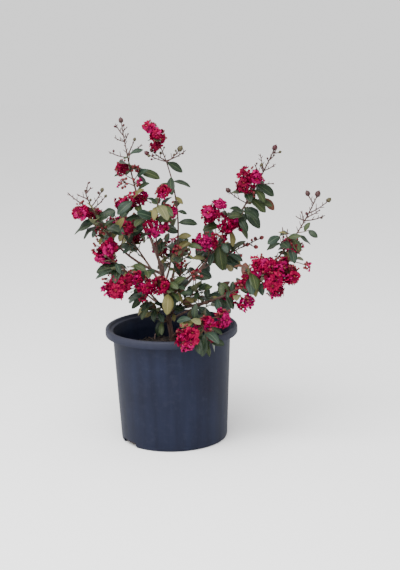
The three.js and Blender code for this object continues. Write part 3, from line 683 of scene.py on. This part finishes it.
GAP_TO_OTHERS = 1.6
SAMPLE_STEP = 5
LAST_TWIG = 0.97
GOLDEN_TURN = 137.5
TWIG_LEAN, TWIG_RISE, TWIG_SAG = 35, 0.18, 0.05
SPRAY_SAG = 0.06
LEAF_LENGTH, LEAF_HALF_WIDTH, LEAF_SPACING = 46, 0.26, 0.28
LIGHT = np.array((-0.1, -0.55, 0.83))
POT_TOP, POT_EDGE, POT_NECK, POT_NECK_HEIGHT = 244, 140, 125, 228
POT_THICKNESS, POT_CLEARANCE, RIM_CLEARANCE, TOP_CLEARANCE = 2.6, 4, 3, 2.5
stem_samples = np.array(stem_line.samples(0, 1, SAMPLE_STEP))

for shoot in SHOOTS.values():
    line, grow_from = shoot["line"], shoot["grow_from"]
    shoot["bloom_twigs"] = []
    for x, y, z, size in shoot.get("blooms", []) + shoot.get("buds", []):
        head = np.array((x, y, z), dtype=float)
        best_share, best = 1, math.inf
        share = grow_from
        while share <= 1:
            away = np.linalg.norm(line.point(share) - head)
            if away < best:
                best_share, best = share, away
            share += 0.02
        share = max(grow_from + 0.03, best_share - 0.7 * best / line.length)
        root = line.point(min(share, LAST_TWIG))
        bend = root + (head - root) * 0.5 + line.tangent(share) * 0.12 * best
        twig = Line(root, bend, head)
        shoot["bloom_twigs"].append((twig, size, np.linalg.norm(head - root)))
    shoot["skeleton"] = line.samples(grow_from, 1, SAMPLE_STEP)
    for twig, _, _ in shoot["bloom_twigs"]:
        shoot["skeleton"] += twig.samples(0, 1, SAMPLE_STEP)
    shoot["limb"] = line.samples(0, shoot["bare"], SAMPLE_STEP) if shoot["bare"] else []
    shoot["leaf_end"] = min(shoot.get("seed_head", 1), LAST_TWIG)

skeleton_points = np.array([p for shoot in SHOOTS.values() for p in shoot["skeleton"]])
skeleton_owner = np.array([k for k, shoot in enumerate(SHOOTS.values()) for _ in shoot["skeleton"]])
limb_points = np.array([p for shoot in SHOOTS.values() for p in shoot["limb"]])
limb_radii = np.array([shoot["radius"] for shoot in SHOOTS.values() for _ in shoot["limb"]])


def away_from(point, samples):
    return np.sqrt(((samples - point) ** 2).sum(axis=1))


def in_pot(point):
    """Whether a point is over the rim, in the wall or in the mix of the pot, or too near to them."""
    out = math.hypot(point[0], point[1])
    if out > POT_EDGE + RIM_CLEARANCE or point[2] > POT_TOP + TOP_CLEARANCE:
        return False
    wall = POT_FOOT + (POT_NECK - POT_FOOT) * point[2] / POT_NECK_HEIGHT - POT_THICKNESS
    return out > wall - POT_CLEARANCE or point[2] < SOIL_LEVEL + POT_CLEARANCE


def has_room(shoot, points):
    """Whether all the points are in this shoot's own space and clear of every limb."""
    for point in points:
        if in_pot(point) or away_from(point, stem_samples).min() < STEM_RADIUS + GAP_TO_OTHERS:
            return False
        if (away_from(point, limb_points) - limb_radii).min() <= GAP_TO_OTHERS:
            return False
        away = away_from(point, skeleton_points)
        mine = skeleton_owner == shoot["number"]
        if away[mine].min() + GAP_TO_OTHERS >= away[~mine].min():
            return False
    return True


def leaving(along, turn, lean):
    """A direction that leaves a stem at a turn round it, leaning forward along it, in degrees."""
    level = np.array((along[0], along[1], 0.0))
    level = np.array((1.0, 0, 0)) if math.hypot(along[0], along[1]) < 0.02 else unit(level)
    side = unit(cross(0.6 * UP - 0.8 * level, along))
    upper = unit(cross(along, side))
    turn, lean = math.radians(turn), math.radians(lean)
    out = (side * math.cos(turn) + upper * math.sin(turn)) * math.cos(lean)
    return unit(out + along * math.sin(lean))


def pointing(heading, rise):
    """The direction with a heading on the compass and a rise from level, both in degrees."""
    heading, rise = math.radians(heading), math.radians(rise)
    return np.array((math.cos(rise) * math.cos(heading), math.cos(rise) * math.sin(heading), math.sin(rise)))


def turn_to(along, heading):
    """The turn round a stem at which what leaves it points to a heading on the compass."""
    side, upper = leaving(along, 0, 0), leaving(along, 90, 0)
    way = np.array((math.cos(math.radians(heading)), math.sin(math.radians(heading)), 0))
    return math.degrees(math.atan2(way @ upper, way @ side))


def turned_about(v, axis, angle):
    return v * math.cos(angle) + cross(axis, v) * math.sin(angle) + axis * (axis @ v) * (1 - math.cos(angle))


def leaf_rim(leaf):
    """The two widest points of a leaf, its middle and its tip."""
    root, along, face, length = leaf["root"], leaf["along"], leaf["face"], leaf["length"]
    wide = cross(along, face) * LEAF_HALF_WIDTH * length
    middle = root + along * 0.5 * length + face * 0.1 * length
    raised = middle + face * 0.07 * length
    return [raised - wide, raised + wide, middle + face * 0.012 * length, root + along * length]


def leaf_fits(shoot, grown, leaf):
    """Whether a leaf is clear of the leaves and heads of its own spray and of everything else."""
    length = leaf["length"]
    blade = [leaf["root"] + leaf["along"] * length * s for s in (0.4, 0.7, 1)]
    rim = leaf_rim(leaf)
    if grown["taken"]:
        taken = np.array(grown["taken"])
        if any(away_from(p, taken).min() < grown["spacing"] * length for p in blade):
            return False
    if any(np.linalg.norm(p - centre) < radius + 1 for centre, radius, _ in grown["heads"] for p in rim):
        return False
    if not has_room(shoot, rim):
        return False
    grown["taken"] += blade
    return True


def add_leaf(shoot, grown, draw, stem, share, turn, size, heading=None, rise=None):
    """A leaf leans and sags, or points to a heading and rise. It swings to a side if it needs the room."""
    lean, sag, roll = 20 + 30 * draw(), 0.2 + 0.6 * draw(), (draw() - 0.5) * 0.9
    length = LEAF_LENGTH * size * (0.8 + 0.4 * draw())
    along = stem.tangent(share)
    for swing in (0, 50, -50):
        if heading is None:
            out = unit(leaving(along, turn + swing, lean) - sag * UP)
        else:
            out = pointing(heading + swing, rise)
        face = LIGHT + 0.4 * leaving(along, turn + swing, 0)
        face = turned_about(unit(face - out * (face @ out)), out, roll)
        leaf = dict(root=stem.point(share) - out * 0.5, along=out, face=face, length=length)
        if leaf_fits(shoot, grown, leaf):
            grown["leaves"].append(leaf)
            return


def skip_leaf(draw):
    """A leaf that is left out takes its numbers from the run all the same."""
    for _ in range(4):
        draw()


def add_side_twig(shoot, grown, share, turn, length):
    """A twig off the stem, or None where it has no room."""
    line = shoot["line"]
    root = line.point(share)
    out = leaving(line.tangent(share), turn, TWIG_LEAN)
    end = root + out * length + UP * TWIG_RISE * length
    twig = Line(root, (root + end) / 2 - UP * TWIG_SAG * length, end)
    if not has_room(shoot, [twig.point(s) for s in (0.5, 0.75, 1)]):
        return None
    grown["twigs"].append((twig, 0, 1, TWIG_RADIUS, TWIG_RADIUS * 0.6, "young"))
    return twig


CORNERS = [(x, y, z) for x in (-1, 0, 1) for y in (-1, 0, 1) for z in (-1, 0, 1)]
BALL_WAYS = [unit(np.array(c, dtype=float)) for c in CORNERS if 1 <= abs(c[0]) + abs(c[1]) + abs(c[2]) <= 2]


def grow(shoot):
    """The stem, side twigs, leaves, blossom heads and pods of one spray, by the rule."""
    draw = Draw(shoot["seed"])
    line, grow_from = shoot["line"], shoot["grow_from"]
    grown = dict(twigs=[], leaves=[], heads=[], pods=[], sprays=[], taken=[], spacing=LEAF_SPACING)
    grown["twigs"].append((line, grow_from, 1, shoot_radius(shoot, grow_from), TWIG_RADIUS * 0.85, "old"))
    for twig, size, _ in shoot["bloom_twigs"]:
        grown["twigs"].append((twig, 0, 1, TWIG_RADIUS * 1.1, TWIG_RADIUS * 0.8, "young"))
        ruffles = [1 - 0.3 * draw() for _ in BALL_WAYS]
        for radius in (size, size * 0.85, size * 0.7, size * 0.55):
            reach = [twig.point(1) + radius * ruffle * way for ruffle, way in zip(ruffles, BALL_WAYS)]
            if has_room(shoot, reach):
                grown["heads"].append((twig.point(1), radius, twig.tangent(1)))
                break
    leaf_end = shoot["leaf_end"]
    for share, heading, rise, size in shoot.get("leaf_nodes", []):
        add_leaf(shoot, grown, draw, line, share, turn_to(line.tangent(share), heading), size, heading, rise)
    pairs = shoot.get("leaves", 0)
    for i in range(pairs):
        share = grow_from + 0.04 + (leaf_end - grow_from - 0.04) * (i + 0.5) / pairs
        for side in (0, 180):
            add_leaf(shoot, grown, draw, line, share, side + 75 * i + 25 * draw(), 1)
    for i in range(shoot["twigs"]):
        share = grow_from + 0.05 + (leaf_end - 0.06 - grow_from - 0.05) * (i + 0.5) / shoot["twigs"]
        turn = GOLDEN_TURN * i + 40 * draw()
        length = shoot["twig_length"] * (1.15 - 0.4 * (i / shoot["twigs"])) * (0.75 + 0.5 * draw())
        twig = add_side_twig(shoot, grown, share, turn, length)
        for at, side in ((0.5, 0), (0.55, 180), (0.95, 60), (0.97, 240)):
            if twig:
                add_leaf(shoot, grown, draw, twig, at, side + 90 * i, 0.85)
            else:
                skip_leaf(draw)
    for twig, _, length in shoot["bloom_twigs"]:
        for side in (20, 200) if length > 30 else ():
            add_leaf(shoot, grown, draw, twig, 0.45, side, 0.8)
    for share, heading, rise, length, pod in shoot.get("sprays", []):
        root = line.point(share)
        end = root + pointing(heading, rise) * length
        spray = Line(root, (root + end) / 2 - UP * SPRAY_SAG * length, end)
        if not has_room(shoot, [spray.point(s) for s in (0.4, 0.7, 1)]):
            continue
        grown["sprays"].append(spray)
        if pod:
            grown["pods"].append((end, pod, spray.tangent(1)))
    if "tip_pod" in shoot:
        grown["pods"].append((line.point(1), shoot["tip_pod"], line.tangent(1)))
    return grown


for number, shoot in enumerate(SHOOTS.values()):
    shoot["number"] = number
    shoot["grown"] = grow(shoot)

# The finer growth fills each spray between the twigs that the rule has set, with short leafy twigs.
FINE_SPACING = 0.24
FINE_TWIGS, HEART_TWIGS = 2, 6
for shoot in SHOOTS.values():
    grown, grow_from = shoot["grown"], shoot["grow_from"]
    draw = Draw(shoot["seed"] + 7001)
    grown["spacing"] = FINE_SPACING
    count = shoot["twigs"] * (FINE_TWIGS if shoot["bare"] else HEART_TWIGS)
    for i in range(count):
        share = grow_from + (shoot["leaf_end"] - grow_from) * (i + draw()) / count
        turn, length = GOLDEN_TURN * i + 60 * draw(), draw.between(10, 26)
        twig = add_side_twig(shoot, grown, share, turn, length)
        for at, side in ((0.6, 10), (0.95, 190)):
            if twig:
                add_leaf(shoot, grown, draw, twig, at, side + 60 * i, draw.between(0.35, 0.75))

# ------------------------------------------------------------------------------------------- twigs
# Twigs are this year's wood: green-brown to red-brown and smooth, thinner at every fork. The old seed
# heads at the tips are last year's, dry and grey, and fork again into fine bare pedicels.

twigs = Heap()
TWIG_PICK = {"old": 0, "young": 1}
DRY_PICK = 2
TWIG_STEP = 7
KNOT = 0.16
SPRAY_THICK, SPRAY_THIN = 1.45, 1.0
STALK_SPACING = 6
POD_SHARE = 0.16


def add_stalks(shoot, line, low, high, draw):
    """Short bare stalks along the end of a dry seed head, a few of them with a pod."""
    count = round((high - low) * line.length / STALK_SPACING)
    for i in range(count):
        outward = (i + 0.5 * draw()) / count
        share = low + (high - low) * outward
        root = line.point(share)
        way = unit(leaving(line.tangent(share), 90 + 180 * i + 70 * draw(), 30) + 0.5 * UP)
        reach = draw.between(6, 12) * (1.1 - 0.6 * outward)
        end = root + way * reach
        if has_room(shoot, [end]):
            middle = root + way * reach * 0.5 - UP * 0.3
            twigs.add(*tube([root, middle, end], [1.0, 0.85, 0.7], 5), pick=DRY_PICK)
            if draw() < POD_SHARE:
                shoot["grown"]["pods"].append((end, draw.between(1.8, 2.7), way))


for shoot in SHOOTS.values():
    grown = shoot["grown"]
    for line, low, high, thick, thin, kind in grown["twigs"]:
        steps = max(4, math.ceil((high - low) * line.length / TWIG_STEP))
        shares = np.linspace(low, high, steps + 1)
        knots = [1 + KNOT * noise.noise(Vector((s * line.length / 4, thick, shoot["seed"]))) for s in shares]
        radii = [(thick + (thin - thick) * (s - low) / (high - low)) * k for s, k in zip(shares, knots)]
        twigs.add(*tube([line.point(s) for s in shares], radii, 6), pick=TWIG_PICK[kind])
    for number, spray in enumerate(grown["sprays"]):
        points = spray.samples(0, 1, 4)
        twigs.add(*tube(points, np.linspace(SPRAY_THICK, SPRAY_THIN, len(points)), 6), pick=DRY_PICK)
        add_stalks(shoot, spray, 0.35, 0.97, Draw(shoot["seed"] + 97 * number + 5))
    if grown["sprays"]:
        add_stalks(shoot, shoot["line"], shoot["seed_head"], 0.99, Draw(shoot["seed"] + 3001))


def plain_wood(name, dark, light, roughness):
    finish = Finish(name)
    tone = finish.cloud(320.0, 4.0)
    colour = finish.mixed(tone, shade(*dark), shade(*light))
    bump = finish.relief(tone, 0.4, 0.0003)
    return finish.surface(Base_Color=colour, Roughness=roughness, Specular_IOR_Level=0.15, Normal=bump)


twig_finishes = [
    plain_wood("grey_brown_twig", (40, 26, 25), (84, 62, 56), 0.75),
    plain_wood("red_green_twig", (62, 34, 30), (92, 68, 48), 0.6),
    plain_wood("dry_twig", (46, 30, 31), (92, 70, 67), 0.85),
]
twig_piece = twigs.piece("twigs", twig_finishes)
GROWTH = [name for name in NODES if name.startswith("growth_")]
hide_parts(*GROWTH)

# ------------------------------------------------------------------------------------------ leaves
# Leaves are leathery and smooth-edged, broadest past the middle, with a blunt tip and a pale midrib.
# Most are dark blue-green and a little glossy. Some are paler, olive, or bronze with age.

LEAF_ROWS = [
    (0.0, 0.04), (0.05, 0.1), (0.14, 0.46), (0.3, 0.82), (0.48, 1.0),
    (0.64, 0.98), (0.78, 0.82), (0.9, 0.52), (0.97, 0.24), (1.0, 0.03),
]
LEAF_COLUMNS = (-1, -0.5, 0, 0.5, 1)
LEAF_THICKNESS = 0.45


def leaf_shape(leaf, draw):
    """The two faces of one leaf, as rows of points from its stalk to its tip."""
    root, along, face, length = leaf["root"], leaf["along"], leaf["face"], leaf["length"]
    across = cross(face, along)
    half = length * draw.between(0.2, 0.27)
    arch, fold = draw.between(0.06, 0.16), draw.between(0.05, 0.3)
    curl, wave, phase = draw.between(-0.05, 0.12), draw.between(0.0, 0.05), 6 * draw()
    points, pattern = [], []
    for lift in (0.0, -LEAF_THICKNESS):
        for s, breadth in LEAF_ROWS:
            spine = root + along * length * s + face * length * arch * 4 * (s - s * s) * (1 - 0.3 * s)
            spine = spine - face * length * curl * s * s
            for c in LEAF_COLUMNS:
                edge = abs(c) * breadth
                rise = fold * half * edge + wave * length * edge * edge * math.sin(phase + 9 * s + 2 * c)
                thick = lift * (1 - 0.5 * abs(c))
                points.append(spine + across * half * breadth * c + face * (rise + thick))
                pattern.append((0.5 + 0.5 * c, s))
    return points, pattern


def grid_faces(wide, deep):
    """The faces between rows of points."""
    corners = [i * wide + k for i in range(deep - 1) for k in range(wide - 1)]
    return [(a, a + 1, a + wide + 1, a + wide) for a in corners]


def leaf_faces():
    """The faces on top of a leaf, and those underneath and round its edge."""
    wide, deep = len(LEAF_COLUMNS), len(LEAF_ROWS)
    under = wide * deep
    top = grid_faces(wide, deep)
    bottom = [(under + a, under + d, under + c, under + b) for a, b, c, d in top]
    edge = []
    for i in range(deep - 1):
        a, b = i * wide, i * wide + wide - 1
        edge.append((a, a + wide, under + a + wide, under + a))
        edge.append((b, under + b, under + b + wide, b + wide))
    for k in range(wide - 1):
        a, b = k, (deep - 1) * wide + k
        edge.append((a, under + a, under + a + 1, a + 1))
        edge.append((b, b + 1, under + b + 1, under + b))
    return top, bottom + edge


def leaf_finish(name, colour, rib, roughness):
    """A blotched blade with a pale midrib and side veins that slant to the tip."""
    finish = Finish(name)
    u, v = finish.pattern()
    off_middle = finish.node("Math", {0: u - 0.5}, operation="ABSOLUTE")
    midrib = finish.spread(off_middle, 0.012, 0.05, 1.0, 0.0)
    veins = finish.node("Math", {0: (v - off_middle * 0.55) * 56}, operation="SINE")
    vein = finish.spread(veins, 0.72, 1.0, 0.0, 0.3)
    blotch = finish.cloud(42.0, 3.0)
    dark = shade(*[c * 0.72 for c in colour])
    light = shade(*[min(255, c * 1.22) for c in colour])
    blade = finish.mixed(blotch, dark, light)
    blade = finish.mixed(vein, blade, shade(*rib))
    blade = finish.mixed(midrib * 0.75, blade, shade(*rib))
    ribs = finish.relief(1 - midrib - vein, 0.5, 0.0008)
    gloss = roughness + 0.1 * blotch
    return finish.surface(Base_Color=blade, Roughness=gloss, Specular_IOR_Level=0.22, Normal=ribs)


LEAF_FINISHES = [
    leaf_finish("leaf_dark", (20, 34, 20), (64, 76, 48), 0.36),
    leaf_finish("leaf_blue_green", (26, 42, 32), (74, 88, 66), 0.38),
    leaf_finish("leaf_green", (38, 50, 25), (86, 92, 54), 0.4),
    leaf_finish("leaf_olive", (84, 80, 44), (120, 110, 70), 0.46),
    leaf_finish("leaf_pale", (88, 90, 60), (118, 116, 84), 0.5),
    leaf_finish("leaf_bronze", (76, 42, 30), (110, 72, 54), 0.46),
    leaf_finish("leaf_underside", (74, 78, 56), (104, 102, 76), 0.6),
]
LEAF_CHANCES = (0.34, 0.62, 0.8, 0.91, 0.95, 1.0)
UNDERSIDE = len(LEAF_FINISHES) - 1
leaves = Heap()
LEAF_TOP, LEAF_UNDER = leaf_faces()
for shoot in SHOOTS.values():
    draw = Draw(shoot["seed"] + 401)
    for leaf in shoot["grown"]["leaves"]:
        chance = draw()
        pick = next(k for k, limit in enumerate(LEAF_CHANCES) if chance <= limit)
        points, pattern = leaf_shape(leaf, draw)
        picks = [pick] * len(LEAF_TOP) + [UNDERSIDE] * len(LEAF_UNDER)
        leaves.add(points, LEAF_TOP + LEAF_UNDER, picks, pattern)
leaf_piece = leaves.piece("leaves", LEAF_FINISHES)
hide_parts(*GROWTH)

# ----------------------------------------------------------------------------------------- blossom
# Each head is a crowd of small flowers and round buds on short stalks. A flower has six crumpled
# petals, each on a thin claw, round a small tuft of yellow-tipped stamens.

PETAL_ROWS = [(0.08, 0.035), (0.4, 0.06), (0.6, 0.4), (0.84, 0.49), (1.0, 0.28)]
PETAL_COLUMNS = (-1, -0.66, -0.33, 0, 0.33, 0.66, 1)
PETAL_FACES = grid_faces(len(PETAL_COLUMNS), len(PETAL_ROWS))
STAMEN_THICK, STAMEN_THIN, ANTHER_RADIUS = 0.14, 0.12, 0.42
OCTA = np.array([(1, 0, 0), (0, 1, 0), (-1, 0, 0), (0, -1, 0), (0, 0, 1), (0, 0, -1)], dtype=float)
OCTA_FACES = [(0, 1, 4), (1, 2, 4), (2, 3, 4), (3, 0, 4), (1, 0, 5), (2, 1, 5), (3, 2, 5), (0, 3, 5)]
petals, hearts = Heap(), Heap()


def frame_of(way):
    """Two directions square to a third."""
    side = unit(cross(way, UP if abs(way[2]) < 0.9 else np.array((1.0, 0, 0))))
    return side, cross(way, side)


def add_flower(centre, way, radius, pick, draw):
    """Six petals, each cupped and crumpled in its own way, and six stamens that show between them."""
    side, upper = frame_of(way)
    spin = 6.28 * draw()
    for k in range(6):
        angle = spin + k * math.pi / 3 + draw.between(-0.2, 0.2)
        out = side * math.cos(angle) + upper * math.sin(angle)
        wide = cross(way, out)
        cup, long = draw.between(-0.5, 0.95), radius * draw.between(0.8, 1.15)
        phase, crimp = 6.28 * draw(), draw.between(0.16, 0.32)
        points, pattern = [], []
        for s, breadth in PETAL_ROWS:
            rise = cup * s * (1.3 - s)
            for c in PETAL_COLUMNS:
                folds = math.sin(phase + 7.5 * c) + 0.7 * math.sin(2.1 * phase + 9 * s + 4 * c)
                ruffle = crimp * s * s * folds
                reach = s * (1 + 0.1 * math.sin(phase + 9 * c)) - 0.12 * c * c * s
                points.append(centre + long * (out * reach + wide * breadth * c + way * (rise + ruffle)))
                pattern.append((0.5 + 0.5 * c, s))
        petals.add(points, PETAL_FACES, pick, pattern)
    for k in range(6):
        angle = spin + k * 2.4
        out = side * math.cos(angle) + upper * math.sin(angle)
        end = centre + radius * (way * draw.between(0.16, 0.36) + out * draw.between(0.04, 0.2))
        hearts.add(*tube([centre, end], [STAMEN_THICK, STAMEN_THIN], 3), pick=0)
        hearts.add(end + ANTHER_RADIUS * OCTA, OCTA_FACES, pick=1)


FLOWERS_TO_RADIUS = 0.76
FLOWER_RADIUS, FLOWER_GAIN = 6, 0.36
OPEN_HEAD_BUDS, CLOSED_HEAD_BUDS = 7, 9
STALK_PICK = 1
closed_buds = []
stalks = Heap()
for shoot in SHOOTS.values():
    draw = Draw(shoot["seed"] + 811)
    grown = shoot["grown"]
    for index, (twig, size, _) in enumerate(shoot["bloom_twigs"]):
        centre, way = twig.point(1), twig.tangent(1)
        open_head = index < len(shoot.get("blooms", []))
        pick = int(3 * draw())
        side, upper = frame_of(way)
        flower_radius = FLOWER_RADIUS + FLOWER_GAIN * size
        flowers = round(size * FLOWERS_TO_RADIUS) if open_head else 1
        count = flowers + (OPEN_HEAD_BUDS if open_head else CLOSED_HEAD_BUDS)
        for k in range(count):
            lift = 1 - 1.6 * (k + 0.5) / count
            flat = math.sqrt(1 - lift * lift)
            angle = 2.4 * k * (7 if open_head else 1) + draw()
            out = unit(way * lift + flat * (side * math.cos(angle) + upper * math.sin(angle)))
            if k % 3 != 1 and flowers > 0:
                flowers -= 1
                spot = centre + out * size * draw.between(0.3, 1.2)
                hue = pick if draw() < 0.6 else (pick + 1 + int(2 * draw())) % 3
                lean = np.array([draw.between(-0.6, 0.6) for _ in range(3)])
                add_flower(spot, unit(out + lean), flower_radius * draw.between(0.8, 1.15), hue, draw)
            else:
                spot = centre + out * size * draw.between(0.7, 1.2)
                swell = draw.between(2.0, 3.1) if open_head else draw.between(2.5, 3.7)
                closed_buds.append((spot, swell, out))
            points = [centre - way * 3, (centre + spot) / 2, spot]
            stalks.add(*tube(points, [0.6, 0.5, 0.45], 4), pick=STALK_PICK)

stalk_piece = stalks.piece("flower_stalks", twig_finishes)
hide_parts(*GROWTH)


def petal_finish(name, throat, edge):
    """A petal that lightens to its edge, with the fine folds of crepe along it."""
    finish = Finish(name)
    u, v = finish.pattern()
    crimp = finish.node("Math", {0: u * 46 + v * 5}, operation="SINE")
    blush = finish.cloud(60.0, 3.0)
    tone = finish.mixed(v * 0.7 + blush * 0.5 - 0.1, shade(*throat), shade(*edge))
    crepe = finish.relief(crimp, 0.4, 0.0005)
    return finish.surface(Base_Color=tone, Roughness=0.6, Specular_IOR_Level=0.08, Normal=crepe)


# Crimson and magenta are the petals' own colours. The third, deep finish is a darker copy of the crimson:
# painted shade for blossom that lies in shadow.
petal_finishes = [
    petal_finish("petal_crimson", (86, 0, 32), (148, 0, 58)),
    petal_finish("petal_magenta", (104, 0, 54), (168, 4, 90)),
    petal_finish("petal_crimson_painted_shade", (62, 0, 24), (118, 0, 44)),
]
petal_piece = petals.piece("petals", petal_finishes)
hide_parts(*GROWTH)

filament = Finish("stamen_thread").surface(Base_Color=shade(150, 60, 62), Roughness=0.6)
anther = Finish("stamen_tip").surface(Base_Color=shade(176, 112, 44), Roughness=0.7)
stamen_piece = hearts.piece("stamens", [filament, anther])
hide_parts(*GROWTH)

# ------------------------------------------------------------------------------- buds and seed pods
# Flower buds are round and red-green. Seed pods are round woody capsules with six seams and a short
# point, green turning dark red and brown, each in the dry star of its cup.


def pod_shape(rows, sides, seams, point):
    """A ball with shallow seams and a pointed top, along +Z, of radius 1."""
    points = [(0, 0, -1.0)]
    for i in range(1, rows):
        polar = math.pi * i / rows
        for k in range(sides):
            around = 2 * math.pi * k / sides
            radius = math.sin(polar) * (1 - seams * (0.5 + 0.5 * math.cos(6 * around)) * math.sin(polar))
            points.append((radius * math.cos(around), radius * math.sin(around), -math.cos(polar)))
    points.append((0, 0, 1.0 + point))
    faces = [(0, 1 + (k + 1) % sides, 1 + k) for k in range(sides)]
    for i in range(rows - 2):
        for k in range(sides):
            a, b = 1 + i * sides + k, 1 + i * sides + (k + 1) % sides
            faces.append((a, b, b + sides, a + sides))
    top = 1 + (rows - 2) * sides
    faces += [(top + k, top + (k + 1) % sides, len(points) - 1) for k in range(sides)]
    return np.array(points), faces


def set_along(points, way, centre, size):
    """Points made along +Z, turned to point another way, sized and set at their place."""
    side, upper = frame_of(way)
    return centre + size * (points @ np.array((side, upper, way)))


BUD = pod_shape(5, 8, 0.04, 0.15)
POD = pod_shape(8, 18, 0.1, 0.28)
CUP_RINGS = ((0.75, -0.78), (1.15, -0.3))
CUP = [(0, 0, -1.15)]
for k in range(12):
    radius, level = CUP_RINGS[k % 2]
    CUP.append((radius * math.cos(k * math.pi / 6), radius * math.sin(k * math.pi / 6), level))
CUP = np.array(CUP)
CUP_FACES = [(0, 1 + (k + 1) % 12, 1 + k) for k in range(12)]
RED_SPRAYS = ("right_mid",)
POD_SWELL, CUP_SWELL = 1.3, 0.95
CUP_PICK = 2
fruit = Heap()
for name, shoot in SHOOTS.items():
    draw = Draw(shoot["seed"] + 1201)
    for centre, radius, way in shoot["grown"]["pods"]:
        hue = 0 if name in RED_SPRAYS else 1 + int(3 * draw())
        size = radius * POD_SWELL
        fruit.add(set_along(POD[0] * (0.92, 0.92, 1), way, centre, size), POD[1], pick=hue)
        fruit.add(set_along(CUP, way, centre, size * CUP_SWELL), CUP_FACES, pick=CUP_PICK)
for centre, radius, way in closed_buds:
    fruit.add(set_along(BUD[0], way, centre, radius), BUD[1], pick=0)


WAXY = {"Roughness": 0.45, "Specular_IOR_Level": 0.3}
pod_finishes = [
    blotched("bud_red", 180.0, (72, 18, 24), (118, 38, 40), **WAXY),
    blotched("pod_green", 180.0, (38, 38, 22), (74, 66, 40), **WAXY),
    blotched("pod_brown", 180.0, (36, 18, 20), (68, 36, 34), **WAXY),
    blotched("pod_wine", 180.0, (36, 8, 16), (70, 18, 26), **WAXY),
]
fruit_piece = fruit.piece("buds_and_pods", pod_finishes)
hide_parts(*GROWTH)

# --------------------------------------------------------------------------- floor, light and camera
# The pot stands on a plain pale floor in soft light from a wide window above and two fill panels.

FLOOR_SIZE, FLOOR_DROP = 14, 0.0005
begin()
bpy.ops.mesh.primitive_plane_add(size=FLOOR_SIZE, location=(0, 0, -FLOOR_DROP))
floor = bpy.context.object
floor.name = "floor"
pale = Finish("pale_floor").surface(Base_Color=shade(250, 250, 250), Roughness=0.9)
floor.data.materials.append(pale.material)

world = bpy.data.worlds.new("studio")
bpy.context.scene.world = world
world.use_nodes = True
sky = world.node_tree.nodes["Background"]
sky.inputs["Color"].default_value = (1, 1, 1, 1)
sky.inputs["Strength"].default_value = 1.25


def panel(name, place, aim, size, power):
    """A square panel of light at a place, turned towards its aim."""
    light = bpy.data.lights.new(name, "AREA")
    light.size = size
    light.energy = power
    lamp = bpy.data.objects.new(name, light)
    lamp.location = place
    lamp.rotation_euler = (Vector(aim) - Vector(place)).to_track_quat("-Z", "Y").to_euler()
    bpy.context.scene.collection.objects.link(lamp)


panel("window", (-0.6, -1.2, 2.6), (0, 0, 0.35), 2.0, 130)
panel("fill_left", (-2.2, -1.0, 1.0), (0, 0, 0.35), 1.6, 30)
panel("fill_front", (0.3, -2.6, 1.2), (0, 0, 0.3), 1.8, 26)

AIM = Vector((0.0627, 0, 0.329))
AWAY, LENS, SENSOR = 3.0, 90.06, 36
RISE, ROLL = math.radians(13.15), math.radians(1.48)
view = bpy.data.cameras.new("camera")
view.lens = LENS
view.sensor_width = SENSOR
camera = bpy.data.objects.new("camera", view)
camera.location = AIM + AWAY * Vector((0, -math.cos(RISE), math.sin(RISE)))
camera.rotation_euler = (math.pi / 2 - RISE, 0, 0)
camera.rotation_euler.rotate_axis("Z", -ROLL)
bpy.context.scene.collection.objects.link(camera)
bpy.context.scene.camera = camera
